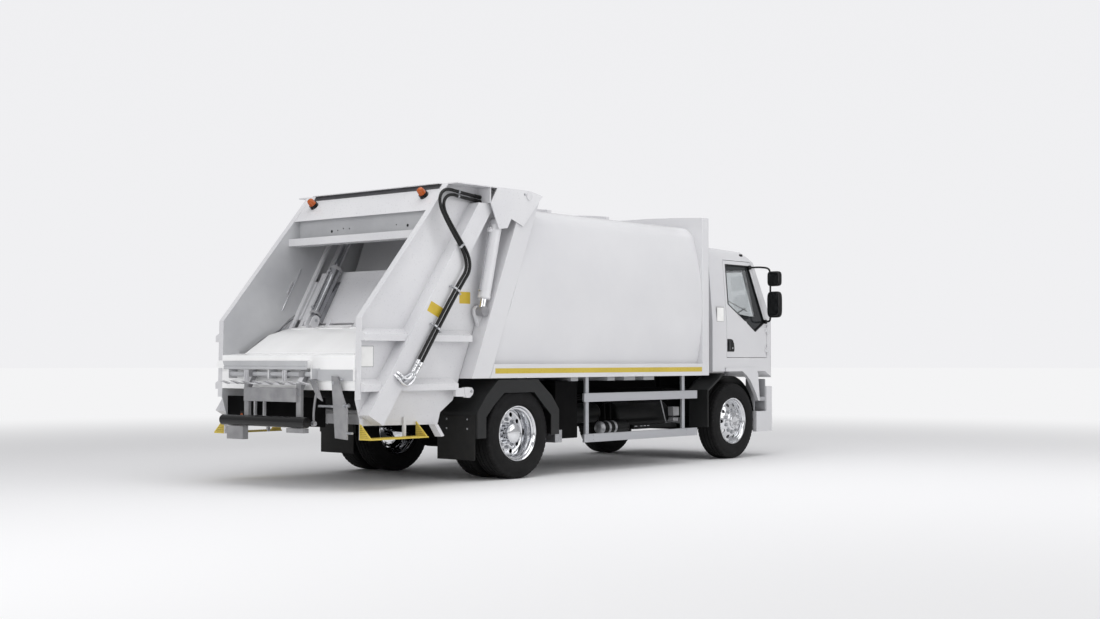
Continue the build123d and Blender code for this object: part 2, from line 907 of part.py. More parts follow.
# Two hoses down the right side. Corners: distance behind the rear axle, distance out from the
# tailgate's side, height. Then the bend radius at each.
hose_radius = 17
hose_lean = 1.7
hose_top_back = plate_corners[0][0] + hose_lean
inner_corners = (
    (hose_top_back, 50, 2972), (1103, 80, 3014), (1077, 150, 2768), (761, 195, 2289),
    (966, 190, 2021), (1280, 185, 1586), (1590, 185, 1146),
)
outer_corners = (
    (hose_top_back, 50, 3019), (1157, 80, 3066), (1123, 150, 2752), (819, 195, 2291),
    (1004, 190, 2049), (1320, 185, 1614), (1630, 185, 1174),
)
hose_inner = [(back(behind), -tail_half - out, z) for behind, out, z in inner_corners]
hose_outer = [(back(behind), -tail_half - out, z) for behind, out, z in outer_corners]
inner_bends = [140, 240, 150, 400, 400]
outer_bends = [185, 200, 195, 400, 400]
elbow_radius = 15
elbow_collar = 30
collar_radius = 17
elbow_back = 1800
elbow_z = 1090
pipe_sunk = 20

tail_outline = [
    (seam_back(tail_roof_z, joint_gap), tail_roof_z), (back(hood_back), tail_roof_z),
    (back(slant_foot_back), slant_foot_z), (back(tail_back), tail_back_low_z),
    (back(heel_back), heel_z), (back(toe_back), toe_z), (back(toe_step_back), toe_step_z),
    (seam_back(toe_top_z, joint_gap), toe_top_z),
]
for name, side in SIDES:
    with BuildPart() as tail_side:
        slab(side, tail_half - tail_wall, tail_half, tail_outline)
        # Flange along the slanted and upright rear edges
        slab(side, tail_half, flange_outer, [
            (back(hood_back), tail_roof_z), (back(slant_foot_back), slant_foot_z),
            (back(tail_back), tail_back_low_z), (back(tail_back) + flange_wall, tail_back_low_z),
            (back(slant_foot_back) + flange_wall, slant_foot_z),
            (back(hood_back) + flange_wall * 1.4, tail_roof_z),
        ])
        # Shelf along the top edge that carries the hinge plate
        block(
            (back(hood_back), seam_back(tail_roof_z, joint_gap)),
            (side * tail_half, side * shelf_outer), (tail_roof_z - tail_wall, tail_roof_z),
        )
        slab(side, plate_face, shelf_outer, [(back(x), z) for x, z in plate_corners])
        block(
            (back(plate_corners[0][0]), back(plate_corners[0][0]) + flange_wall),
            (side * tail_half, side * plate_face),
            (plate_corners[0][1], tail_roof_z - tail_wall),
        )
        for low, high, front_end in rib_rows:
            with BuildSketch(Plane.YZ.offset(back(tail_back) + flange_wall)) as rib:
                with BuildLine():
                    Polyline(
                        (side * tail_half, low), (side * rib_outer, low),
                        (side * rib_outer, high - rib_bevel), (side * tail_half, high + rib_bevel),
                        close=True,
                    )
                make_face()
            extrude(rib.sketch, amount=tail_back - flange_wall - front_end)
        head_shift = (beam_head_z - beam_foot_z) / beam_slope
        slab(side, tail_half, beam_outer, [
            (back(beam_foot_back), beam_foot_z), (back(beam_foot_back) + head_shift, beam_head_z),
            (back(beam_foot_back) + head_shift + beam_run, beam_head_z),
            (back(beam_foot_back) + beam_run - (beam_foot_z - heel_z) / beam_slope * 0.7, heel_z),
        ])
        # Guide strips for the carriage shoes
        for edge in (guide_half, -guide_half - guide_wall):
            slab(side, guide_inner, tail_half - tail_wall, [
                on_guide(-ram_low * 2, edge), on_guide(ram_anchor, edge),
                on_guide(ram_anchor, edge + guide_wall), on_guide(-ram_low * 2, edge + guide_wall),
            ])
        rod_y(
            hinge_x, hinge_z, hinge_pin + running_fit, side * plate_face - side * plate_wall,
            side * shelf_outer + side * plate_wall, Mode.SUBTRACT,
        )
        rod_y(
            back(lift_top_back), lift_top_z, lift_pin, side * (lift_y - lift_eye - 2 * joint_gap),
            side * plate_face,
        )
        if side == -1:
            for route in (hose_inner, hose_outer):
                foot = Vector(*route[-1])
                run = (foot - Vector(*route[-2])).normalized()
                collar = foot + run * elbow_collar
                shift = foot - Vector(*hose_outer[-1])
                turn_x = back(elbow_back) + shift.X
                turn_z = elbow_z + shift.Z
                rod_between(tuple(foot + run * seat_gap), tuple(collar), collar_radius)
                rod_between(tuple(collar), (turn_x, foot.Y, turn_z), elbow_radius)
                rod_y(
                    turn_x, turn_z, elbow_radius, foot.Y - elbow_radius, -(beam_outer - pipe_sunk)
                )
    save(tail_side, f"tail_side_{name}")

# The hoses themselves, from the hinge plate's web to the elbows on the diagonal beam
for name, route, bends in (
    ("hose_inner", hose_inner, inner_bends), ("hose_outer", hose_outer, outer_bends),
):
    with BuildPart() as hose:
        with BuildLine() as path:
            FilletPolyline(*route, radius=bends)
        with BuildSketch(Plane(origin=path.line @ 0, z_dir=path.line % 0)):
            Circle(hose_radius)
        sweep(path=path.line)
    save(hose, name)

# Tailgate hood: roof plate, slanted rear panel, recessed panel and cross beams
tail_inner = tail_half - tail_wall - seat_gap
visor_wall = 12
recess_back = 1165
beam_low_z = 2550
beam_high_z = 2630
beam_back = (1330, 1235)
anchor_radius = 48
visor_slope = (tail_roof_z - hood_low_z) / (hood_low_back - hood_back)
recess_top_z = tail_roof_z - (recess_back - hood_back) * visor_slope - visor_wall / 2
with BuildPart() as tail_hood:
    across(tail_inner, [
        (seam_back(tail_roof_z, joint_gap), tail_roof_z), (back(hood_back), tail_roof_z),
        (back(hood_low_back), hood_low_z), (back(hood_low_back) + visor_wall, hood_low_z),
        (back(hood_back) + visor_wall, tail_roof_z - visor_wall),
        (seam_back(tail_roof_z, joint_gap) - visor_wall, tail_roof_z - visor_wall),
    ])
    across(tail_inner, [
        (back(recess_back), beam_low_z + visor_wall), (back(recess_back), recess_top_z),
        (back(recess_back) + visor_wall, recess_top_z),
        (back(recess_back) + visor_wall, beam_low_z + visor_wall),
    ])
    across(tail_inner, [
        (back(beam_back[0]), beam_low_z), (back(recess_back) + visor_wall, beam_low_z),
        (back(recess_back) + visor_wall, beam_low_z + visor_wall),
        (back(beam_back[1]), beam_low_z + visor_wall), (back(beam_back[1]), beam_high_z),
        (back(beam_back[0]), beam_high_z),
    ])
save(tail_hood, "tail_hood")

# Hopper: trough swept by the blade, lip, rear face, sill and the floor beams
lip_z = 1335
lip_low_z = 985
trough_wall = 12
riser_z = 905
riser_inset = 24
# Y, then height above the ground
lever_line = ((-772, 1129), (-861, 1118), (-923, 964), (-1003, 800), (-1005, 505), (-829, 517))
strut_line = ((-410, 1139), (-500, 1139), (-640, 876), (-558, 911))
lever_lugs = ((-850, -790), (-490, -430))
lever_wall = 14
lug_high = 42
sill_lower_z = 1080
sill_upper_z = 1190
sill_out = 34
bent_sill_out = 72
sill_split = -400
bent_low_z = 1200
bent_high_z = 1280
with BuildPart() as hopper:
    def arc_point(angle, radius):
        """A point of the blade's sweep about the pivot."""
        return (pivot_x + radius * cos(radians(angle)), pivot_z + radius * sin(radians(angle)))

    middle_angle = (trough_from + trough_to) / 2
    inner_r = trough_radius
    outer_r = trough_radius + trough_wall
    riser_foot = (seam_back(riser_z, joint_gap + riser_inset), riser_z)
    riser_head = (seam_back(sill_top, joint_gap + riser_inset), sill_top)
    with BuildSketch(xz_plane(tail_inner)) as trough:
        with BuildLine():
            ThreePointArc(
                arc_point(trough_from, inner_r), arc_point(middle_angle, inner_r),
                arc_point(trough_to, inner_r),
            )
            Polyline(
                arc_point(trough_to, inner_r), riser_foot, riser_head,
                (riser_head[0] + trough_wall, sill_top), (riser_foot[0] + trough_wall, riser_z),
                arc_point(trough_to, outer_r),
            )
            ThreePointArc(
                arc_point(trough_to, outer_r), arc_point(middle_angle, outer_r),
                arc_point(trough_from, outer_r),
            )
            lip_start = arc_point(trough_from, outer_r)
            Polyline(
                lip_start, (back(tail_back) + trough_wall, lip_z - trough_wall),
                (back(tail_back) + trough_wall, lip_low_z), (back(tail_back), lip_low_z),
                (back(tail_back), lip_z), arc_point(trough_from, inner_r),
            )
        make_face()
    extrude(trough.sketch, amount=2 * tail_inner)
    # Bent sill on the lifter's side, box sill on the other
    block(
        (back(tail_back) - bent_sill_out, back(tail_back)), (sill_split, tail_half - flange_wall),
        (bent_low_z, bent_high_z),
    )
    block(
        (back(tail_back) - sill_out, back(tail_back)), (-tail_half, sill_split - flange_wall),
        (sill_lower_z, sill_upper_z),
    )
    # Lifter shaft on three ears
    ear_low = lifter_z - lifter_hub
    for ear_y in (lifter_left - flange_wall, (lifter_left + lifter_right) / 2, lifter_right):
        block(
            (back(lifter_back) - lifter_hub, back(tail_back)), (ear_y, ear_y + flange_wall),
            (ear_low, bent_low_z),
        )
    rod_y(back(lifter_back), lifter_z, lifter_shaft, lifter_right, lifter_left)
    # Lever plate and strut that hang from the box sill, beside the lifter
    for outline in (lever_line, strut_line):
        with BuildSketch(Plane.YZ.offset(back(lifter_back))) as lever:
            with BuildLine():
                Polyline(outline, close=True)
            make_face()
        extrude(lever.sketch, amount=lever_wall)
    for low, high in lever_lugs:
        block(
            (back(lifter_back), back(tail_back)), (low, high),
            (sill_lower_z, sill_lower_z + lug_high),
        )
save(hopper, "hopper")

# Cross beams under the hopper
with BuildPart() as tail_beams:
    beam_size = 100
    for beam_x, beam_z in (
        (back(heel_back) + flange_wall, heel_z + flange_wall),
        (back(toe_back) - beam_size - flange_wall, toe_z + flange_wall * 2),
    ):
        block(
            (beam_x, beam_x + beam_size), (-tail_inner, tail_inner), (beam_z, beam_z + beam_size)
        )
save(tail_beams, "tail_beams")

# Beacons on the hood's slanted panel
beacon_half = 865
beacon_share = 0.42
beacon_base = 52
beacon_dome = 42
beacon_height = 36
beacon_tall = 72
with BuildPart() as beacons:
    slope = Vector(hood_back - hood_low_back, 0, hood_low_z - tail_roof_z)
    normal = Vector(hood_low_z - tail_roof_z, 0, hood_low_back - hood_back).normalized()
    for side in (1, -1):
        foot = Vector(back(hood_back), side * beacon_half, tail_roof_z) + slope * beacon_share
        foot = foot + normal * seat_gap
        with BuildSketch(Plane(origin=foot, x_dir=(0, 1, 0), z_dir=normal)) as base:
            Circle(beacon_base)
        extrude(base.sketch, amount=beacon_height)
        with BuildSketch(
            Plane(origin=foot + normal * beacon_height, x_dir=(0, 1, 0), z_dir=normal)
        ) as dome:
            Circle(beacon_dome)
        extrude(dome.sketch, amount=beacon_tall, taper=8)
save(beacons, "beacons")

# Rear lamps on the rear cross beam
lamp_span = (690, 815)
lamp_deep = 30
lamp_low_share = 0.05
with BuildPart() as rear_lamps:
    lamp_x = back(heel_back) + flange_wall - seat_gap
    lamp_z = heel_z + flange_wall + beam_size * lamp_low_share
    for side in (1, -1):
        block(
            (lamp_x - lamp_deep, lamp_x), (side * lamp_span[0], side * lamp_span[1]),
            (lamp_z, lamp_z + beam_size * (1 - 2 * lamp_low_share)),
        )
save(rear_lamps, "rear_lamps")

# Rear side steps
step_span = (2190, 1390)
step_z = 500
step_wall = 14
step_inner = tail_half + 12
step_outer = body_half - 25
step_post_top = 712
step_post_width = 35
step_posts = (2185, 1600)
with BuildPart() as rear_steps:
    for side in (1, -1):
        block(
            (back(step_span[0]), back(step_span[1])), (side * step_inner, side * step_outer),
            (step_z, step_z + step_wall),
        )
        for post in step_posts:
            block(
                (back(post), back(post) + step_post_width),
                (side * (tail_half + seat_gap), side * (step_inner + step_wall)),
                (step_z, step_post_top),
            )
        for end in (step_span[0], step_span[1] + 2 * step_wall):
            with BuildSketch(Plane.YZ.offset(back(end))) as gusset:
                with BuildLine():
                    Polyline(
                        (side * step_inner, step_z), (side * step_outer, step_z + step_wall),
                        (side * step_inner, step_z + (step_outer - step_inner)), close=True,
                    )
                make_face()
            extrude(gusset.sketch, amount=step_wall)
save(rear_steps, "rear_steps")

# Carriage: plate between the guides, shoes, cheeks and the blade's shaft
cheek_wall = 60
cheek_rows = (blade_half - 40, blade_half - 490, 30)
shoe_from = 120
shoe_to = 620
with BuildPart() as carriage:
    plate_half = blade_half
    plate_low = hub_radius + 3 * joint_gap
    across(plate_half, [
        on_guide(plate_low, carriage_wall / 2), on_guide(carriage_length, carriage_wall / 2),
        on_guide(carriage_length, -carriage_wall / 2), on_guide(plate_low, -carriage_wall / 2),
    ])
    for side in (1, -1):
        slab(side, plate_half - flange_wall, tail_half - tail_wall - joint_gap, [
            on_guide(shoe_from, guide_half - joint_gap), on_guide(shoe_to, guide_half - joint_gap),
            on_guide(shoe_to, -guide_half + joint_gap), on_guide(shoe_from, -guide_half + joint_gap),
        ])
        for cheek in cheek_rows:
            slab(side, cheek - cheek_wall / 2, cheek + cheek_wall / 2, [
                on_guide(-pivot_shaft, pivot_shaft), on_guide(shoe_from, pivot_shaft),
                on_guide(shoe_from, -pivot_shaft), on_guide(-pivot_shaft, -pivot_shaft),
            ])
        # Clevis for the packing cylinder
        slab(side, ram_y - ram_radius / 2, ram_y + ram_radius / 2, [
            on_guide(plate_low, carriage_wall / 2), on_guide(plate_low, ram_offset + ram_rod),
            on_guide(shoe_from, ram_offset + ram_rod), on_guide(shoe_to, carriage_wall / 2),
        ])
    rod_y(pivot_x, pivot_z, pivot_shaft, -blade_half, blade_half)
    for side in (1, -1):
        start = on_guide(shoe_from, ram_offset)
        end = on_guide(ram_high, ram_offset)
        rod_between(
            (start[0], side * ram_y, start[1]), (end[0], side * ram_y, end[1]), ram_radius
        )
    for side in (1, -1):
        start = on_guide(shoe_from + ram_radius / 2, ram_offset)
        end = on_guide(ram_high + ram_radius, ram_offset)
        rod_between(
            (start[0], side * ram_y, start[1]), (end[0], side * ram_y, end[1]),
            ram_rod + running_fit, Mode.SUBTRACT,
        )
save(carriage, "carriage")

# Packing rods and the cross tube that anchors them
rod_tip = shoe_from + ram_radius / 2 + carriage_travel + joint_gap
with BuildPart() as pack_rods:
    anchor = on_guide(ram_anchor, ram_offset)
    rod_y(anchor[0], anchor[1], anchor_radius, -tail_inner, tail_inner)
    for side in (1, -1):
        tip = on_guide(rod_tip, ram_offset)
        rod_between((tip[0], side * ram_y, tip[1]), (anchor[0], side * ram_y, anchor[1]), ram_rod)
save(pack_rods, "pack_rods")

# Blade: hubs between the cheeks and a hollow-backed scoop
blade_wall = 40
blade_ridge_share = 0.52
blade_ridge_out = 95


def on_blade(along, offset=0):
    """A point measured from the pivot towards the blade's tip, and square to it."""
    angle = radians(blade_rest)
    return (
        pivot_x + along * cos(angle) + offset * sin(angle),
        pivot_z + along * sin(angle) - offset * cos(angle),
    )


with BuildPart() as blade:
    hub_bands = (
        (cheek_rows[0] - cheek_wall / 2 - joint_gap, cheek_rows[1] + cheek_wall / 2 + joint_gap),
        (cheek_rows[1] - cheek_wall / 2 - joint_gap, cheek_rows[2] + cheek_wall / 2 + joint_gap),
    )
    for side in (1, -1):
        for outer, inner in hub_bands:
            rod_y(pivot_x, pivot_z, hub_radius, side * inner, side * outer)
            slab(side, inner, outer, [
                on_blade(0, -hub_radius * 0.6), on_blade(0, hub_radius * 0.9),
                on_blade(hub_radius * 2.4, blade_ridge_out * 0.9),
                on_blade(hub_radius * 2.4, -hub_radius * 0.6),
            ])
    across(blade_half, [
        on_blade(hub_radius * 2, -hub_radius * 0.6), on_blade(hub_radius * 2, blade_ridge_out * 0.8),
        on_blade(blade_reach * blade_ridge_share, blade_ridge_out),
        on_blade(blade_reach, blade_wall / 4), on_blade(blade_reach - blade_wall / 4, 0),
        on_blade(blade_reach * blade_ridge_share, -hub_radius * 0.35),
    ])
    rod_y(
        pivot_x, pivot_z, pivot_shaft + running_fit, -blade_half - overrun, blade_half + overrun,
        Mode.SUBTRACT,
    )
save(blade, "blade")

# Lift cylinders: barrels on the tailgate's hinge plates, rods to the body's lugs
lift_top = Vector(back(lift_top_back), 0, lift_top_z)
lift_foot = Vector(back(lift_foot_back), 0, lift_foot_z)
lift_run = (lift_foot - lift_top).length
lift_dir = (lift_foot - lift_top).normalized()
barrel_from = 30
barrel_to = 850
rod_from = 110
eye_half = 50
with BuildPart() as lift_barrels:
    for side in (1, -1):
        shift = Vector(0, side * lift_y, 0)
        rod_between(
            tuple(lift_top + shift + lift_dir * barrel_from),
            tuple(lift_top + shift + lift_dir * barrel_to), lift_barrel,
        )
        rod_y(
            lift_top.X, lift_top.Z, lift_eye, side * (lift_y - eye_half), side * (lift_y + eye_half)
        )
    for side in (1, -1):
        shift = Vector(0, side * lift_y, 0)
        rod_y(
            lift_top.X, lift_top.Z, lift_pin + running_fit, side * (lift_y - 2 * eye_half),
            side * (lift_y + 2 * eye_half), Mode.SUBTRACT,
        )
        rod_between(
            tuple(lift_top + shift + lift_dir * (rod_from - joint_gap)),
            tuple(lift_top + shift + lift_dir * (barrel_to + joint_gap)), lift_rod + running_fit,
            Mode.SUBTRACT,
        )
save(lift_barrels, "lift_barrels")

with BuildPart() as lift_rods:
    for side in (1, -1):
        shift = Vector(0, side * lift_y, 0)
        rod_between(
            tuple(lift_top + shift + lift_dir * rod_from), tuple(lift_foot + shift), lift_rod
        )
        rod_y(
            lift_foot.X, lift_foot.Z, lift_eye, side * (lug_outer + seat_gap),
            side * (lift_y + eye_half),
        )
save(lift_rods, "lift_rods")

# Bin lifter: arms on the shaft, box beam, toothed comb; the buffer roller hangs on the arms
arm_rows = (450, -370)
arm_wall = 70
arm_out = 75
tooth_count = 8
tooth_long = 100
tooth_wide = 60
comb_z = 1052
comb_wall = 16
comb_inner_back = 2350
comb_outer_back = 2375
with BuildPart() as lifter_frame:
    arm_back = lifter_back + arm_out
    for arm_y in arm_rows:
        rod_y(
            back(lifter_back), lifter_z, lifter_hub, arm_y - arm_wall / 2, arm_y + arm_wall / 2
        )
        slab(1, arm_y - arm_wall / 2, arm_y + arm_wall / 2, [
            (back(lifter_back), lifter_z + lifter_hub / 2), (back(lifter_back - lifter_hub / 2),
                                                             lifter_z - lifter_hub),
            (back(arm_back - arm_wall / 2), comb_z - arm_wall), (back(arm_back - arm_wall / 2),
                                                                roller_z - roller_radius),
            (back(arm_back), roller_z - roller_radius), (back(arm_back), comb_z),
        ])
    block(
        (back(comb_outer_back) - arm_wall / 2, back(comb_inner_back)),
        (arm_rows[1], arm_rows[0]),
        (comb_z - 3 * comb_wall - 2 * arm_wall, comb_z - 3 * comb_wall),
    )
    block(
        (back(comb_outer_back), back(comb_inner_back)),
        (lifter_right + arm_wall / 4, lifter_left - arm_wall / 4), (comb_z - comb_wall, comb_z),
    )
    pitch = (lifter_left - lifter_right - tooth_wide - arm_wall / 2) / (tooth_count - 1)
    for tooth in range(tooth_count):
        tooth_y = lifter_right + arm_wall / 4 + tooth * pitch
        slab(1, tooth_y, tooth_y + tooth_wide, [
            (back(comb_outer_back), comb_z - comb_wall), (back(comb_outer_back), comb_z),
            (back(comb_outer_back + tooth_long * 0.8), comb_z + comb_wall * 1.4),
            (back(comb_outer_back + tooth_long), comb_z + comb_wall * 1.2),
        ])
    rod_y(
        back(lifter_back), lifter_z, lifter_shaft + running_fit, lifter_right - overrun,
        lifter_left + overrun, Mode.SUBTRACT,
    )
save(lifter_frame, "lifter_frame")

with BuildPart() as buffer_roller:
    rod_y(
        back(lifter_back + arm_out + roller_radius + seat_gap), roller_z, roller_radius,
        lifter_right - arm_wall / 2, lifter_left - arm_wall / 2,
    )
save(buffer_roller, "buffer_roller")

# Cab: one hollow shell with its roof, nose and floor, cut for the doors and windows
# Side outline: distance ahead of the rear axle and height, from the floor round by the roof
windscreen_foot = (5330, 1790)
windscreen_head = (4965, 2590)
roof_rear = (3950, 2745)
roof_peak = (4700, 2720)
waist_front = (cab_front, 1420)
cab_side = [
    (cab_back, cab_floor_z), (cab_back + roof_rear[0] - cab_back - cab_wall, roof_rear[1] - cab_wall),
    roof_rear, roof_peak, windscreen_head, windscreen_foot, waist_front, (cab_front, cab_nose_z),
    (cab_front - 2 * cab_wall, cab_nose_z), (cab_front - 6 * cab_wall, cab_floor_z),
]
cab_inner_side = [
    (cab_back + cab_wall, cab_floor_z + cab_wall), (roof_rear[0] + cab_wall / 2, roof_rear[1] - cab_wall),
    (roof_peak[0], roof_peak[1] - cab_wall), (windscreen_head[0] - cab_wall, windscreen_head[1] - cab_wall),
    (windscreen_foot[0] - cab_wall, windscreen_foot[1] - cab_wall / 3),
    (cab_front - cab_wall, waist_front[1] - cab_wall / 3), (cab_front - cab_wall, cab_floor_z + cab_wall),
]
corner_cut = 150
corner_side = 200
nose_bow = 55
roof_tumble = 70


def nose_curve(nose, half):
    """The rounded plan of the truck's nose from its left side to its right."""
    turn_in = (nose - nose_bow, half - corner_side)
    TangentArc((nose - corner_cut, half), turn_in, tangent=(1, 0))
    ThreePointArc(turn_in, (nose, 0), (turn_in[0], -turn_in[1]))
    TangentArc((nose - corner_cut, -half), (turn_in[0], -turn_in[1]), tangent=(1, 0))


def cab_form(points, half, nose):
    """The cab's side outline, rounded in plan at the nose and drawn in at the roof."""
    with BuildPart() as form:
        across(half, [(ahead(x), z) for x, z in points])
        with BuildSketch(Plane.XY) as plan:
            with BuildLine():
                Polyline(
                    (ahead(nose) - corner_cut, -half), (ahead(cab_back) - overrun, -half),
                    (ahead(cab_back) - overrun, half), (ahead(nose) - corner_cut, half),
                )
                nose_curve(ahead(nose), half)
            make_face()
        extrude(plan.sketch, amount=cab_roof_z + overrun, mode=Mode.INTERSECT)
        with BuildSketch(Plane.YZ.offset(ahead(cab_back) - overrun)) as front:
            with BuildLine():
                belt = windscreen_foot[1]
                Polyline(
                    (-half, 0), (half, 0), (half, belt), (half - roof_tumble, roof_rear[1] - overrun / 4),
                    (half - 2 * roof_tumble, roof_rear[1] + cab_wall),
                    (-half + 2 * roof_tumble, roof_rear[1] + cab_wall),
                    (-half + roof_tumble, roof_rear[1] - overrun / 4), (-half, belt), close=True,
                )
            make_face()
        extrude(front.sketch, amount=2 * overrun + cab_front - cab_back, mode=Mode.INTERSECT)
    return form.part


# Door: its edges ahead of the rear axle and above the ground, then the window inside it
door_rear = 4235
door_hinge_ahead = 5195
door_low = 1320
door_high = 2590
door_corner_ahead = 4880
door_corner_z = 1785
door_outline = [
    (door_rear, door_low), (door_rear, door_high), (door_corner_ahead, door_high),
    (door_hinge_ahead, door_corner_z), (door_hinge_ahead, door_low),
]
window_frame = 55
window_dip_ahead = 4915
window_dip_z = 1670
window_rear_z = 2020
window_outline = [
    (door_rear + window_frame, window_rear_z), (door_rear + window_frame, door_high - window_frame),
    (door_corner_ahead - window_frame, door_high - window_frame),
    (door_hinge_ahead - window_frame, door_corner_z), (window_dip_ahead, window_dip_z),
]
cab_outer = cab_form(cab_side, cab_half, cab_front)
cab_hollow = cab_form(cab_inner_side, cab_half - cab_wall, cab_front - cab_wall)
opening_outline = [
    (door_rear - door_gap, door_low - door_gap), (door_rear - door_gap, door_high + door_gap),
    (door_corner_ahead + door_gap, door_high + door_gap),
    (door_hinge_ahead + door_gap, door_corner_z), (door_hinge_ahead + door_gap, door_low - door_gap),
]
screen_half = 860
screen_shares = (0.10, 0.88)


def screen_corner(share, offset):
    """A point up the windscreen's slope, set out square to it."""
    foot = Vector(ahead(windscreen_foot[0]), 0, windscreen_foot[1])
    head = Vector(ahead(windscreen_head[0]), 0, windscreen_head[1])
    run = head - foot
    out = Vector(run.Z, 0, -run.X).normalized()
    point = foot + run * share + out * offset
    return (point.X, point.Z)


# Mirrors: the two heads' lower and upper ends, then where the arms end: ahead and height
mirror_ahead = 5010
mirror_deep = 70
mirror_span = 210
mirror_face = cab_half + 120
mirror_heads = ((1850, 2200), (2270, 2470))
arm_ends = ((door_corner_ahead - 20, door_high - 70), (door_hinge_ahead - 35, door_corner_z + 15))

# Wheel arch's flare: distance ahead of the rear axle, then height above the ground
flare_wall = 25
flare_line = (
    (4180, 1137), (4180, 1185), (4900, 1185), (4945, 1100), (4985, 743),
    (4947, 743), (4882, 851), (4758, 1009), (4660, 1085), (4560, 1137),
)

hinge_rows = (1420, 1690)
hinge_leaf = 60
hinge_tube = 14
hinge_line = door_hinge_ahead + door_gap / 2
hinge_half = cab_half + hinge_tube + seat_gap
pivot_lug_half = 395
pivot_lug_wall = 30
pivot_pin = 20
with BuildPart() as cab_shell:
    add(cab_outer)
    add(cab_hollow, mode=Mode.SUBTRACT)
    for side in (1, -1):
        slab(side, cab_half - 4 * cab_wall, cab_half + cab_wall,
             [(ahead(x), z) for x, z in opening_outline], Mode.SUBTRACT)
        slab(side, cab_half - flare_wall, cab_half + flare_wall, [(ahead(x), z) for x, z in flare_line])
    across(screen_half, [
        screen_corner(screen_shares[0], -3 * cab_wall), screen_corner(screen_shares[1], -3 * cab_wall),
        screen_corner(screen_shares[1], 2 * cab_wall), screen_corner(screen_shares[0], 2 * cab_wall),
    ], Mode.SUBTRACT)
    for side in (1, -1):
        for hinge in hinge_rows:
            for low in (hinge - hinge_leaf, hinge + hinge_leaf / 2):
                block(
                    (ahead(hinge_line), ahead(hinge_line) + 3 * hinge_tube),
                    (side * (cab_half - cab_wall / 4), side * hinge_half),
                    (low, low + hinge_leaf / 2),
                )
                rod_z(ahead(hinge_line), side * hinge_half, hinge_tube, low, low + hinge_leaf / 2)
            rod_z(
                ahead(hinge_line), side * hinge_half, hinge_tube / 2,
                hinge - hinge_leaf, hinge + hinge_leaf,
            )
        block(
            (ahead(cab_pivot_ahead) - pivot_lug_wall, ahead(cab_pivot_ahead) + pivot_lug_wall),
            (side * pivot_lug_half, side * (pivot_lug_half - pivot_lug_wall)),
            (cab_pivot_z - pivot_lug_wall, cab_floor_z + cab_wall / 2),
        )
        rod_y(
            ahead(cab_pivot_ahead), cab_pivot_z, pivot_pin + running_fit,
            side * (pivot_lug_half + pivot_lug_wall), side * (pivot_lug_half - 2 * pivot_lug_wall),
            Mode.SUBTRACT,
        )
save(cab_shell, "cab_shell")

# Windscreen
glass_wall = 6
with BuildPart() as windscreen:
    across(screen_half - seat_gap, [
        screen_corner(screen_shares[0], -cab_wall / 2 - glass_wall),
        screen_corner(screen_shares[1], -cab_wall / 2 - glass_wall),
        screen_corner(screen_shares[1], -cab_wall / 2), screen_corner(screen_shares[0], -cab_wall / 2),
    ])
save(windscreen, "windscreen")

# Doors with their glass and mirrors
arm_radius = 12
pad_half = 25


def skin_y(z, inset=0):
    """Half width of the cab's side at a height, drawn in above the belt."""
    lean_top = roof_rear[1] - overrun / 4
    rise = max(0, (z - windscreen_foot[1]) / (lean_top - windscreen_foot[1]))
    return cab_half - inset - roof_tumble * rise


glass_outer = cab_form(cab_side, cab_half - cab_wall / 2 + glass_wall / 2, cab_front)
glass_inner = cab_form(cab_side, cab_half - cab_wall / 2 - glass_wall / 2, cab_front)
for name, side in SIDES:
    with BuildPart() as door:
        slab(side, cab_half - 3 * cab_wall, cab_half + door_wall,
             [(ahead(x), z) for x, z in door_outline])
        add(cab_outer, mode=Mode.INTERSECT)
        add(cab_hollow, mode=Mode.SUBTRACT)
        slab(side, cab_half - 5 * door_wall, cab_half + 2 * door_wall,
             [(ahead(x), z) for x, z in window_outline], Mode.SUBTRACT)
        for hinge in hinge_rows:
            block(
                (ahead(hinge_line) - 3 * hinge_tube, ahead(hinge_line)),
                (side * cab_half, side * hinge_half),
                (hinge - hinge_leaf / 2 + seat_gap, hinge + hinge_leaf / 2 - seat_gap),
            )
            rod_z(
                ahead(hinge_line), side * hinge_half, hinge_tube,
                hinge - hinge_leaf / 2 + seat_gap, hinge + hinge_leaf / 2 - seat_gap,
            )
        for hinge in hinge_rows:
            rod_z(
                ahead(hinge_line), side * hinge_half, hinge_tube / 2 + running_fit,
                hinge - hinge_leaf, hinge + hinge_leaf, Mode.SUBTRACT,
            )
    save(door, f"door_{name}")
    with BuildPart() as door_glass:
        slab(side, cab_half - 5 * door_wall, cab_half + 2 * door_wall,
             [(ahead(x), z) for x, z in window_outline])
        add(glass_outer, mode=Mode.INTERSECT)
        add(glass_inner, mode=Mode.SUBTRACT)
        split(bisect_by=Plane.XZ.offset(-side * cab_half / 2),
              keep=Keep.BOTTOM if side == 1 else Keep.TOP)
    save(door_glass, f"door_glass_{name}")
    with BuildPart() as mirror:
        stem_x = ahead(mirror_ahead) + mirror_deep
        for low, high in mirror_heads:
            block(
                (ahead(mirror_ahead), stem_x),
                (side * mirror_face, side * (mirror_face + mirror_span)), (low, high),
            )
        rod_z(stem_x, side * (mirror_face + arm_radius), arm_radius, arm_ends[1][1], arm_ends[0][1])
        for arm_ahead, arm_z in arm_ends:
            pad_y = skin_y(arm_z - pad_half) + seat_gap
            start = (stem_x, side * (mirror_face + arm_radius), arm_z)
            end = (ahead(arm_ahead), side * (pad_y + arm_radius), arm_z)
            rod_between(start, end, arm_radius)
            block(
                (ahead(arm_ahead) - pad_half, ahead(arm_ahead) + pad_half),
                (side * pad_y, side * (pad_y + 2 * arm_radius)),
                (arm_z - pad_half, arm_z + pad_half),
            )
    save(mirror, f"mirror_{name}")

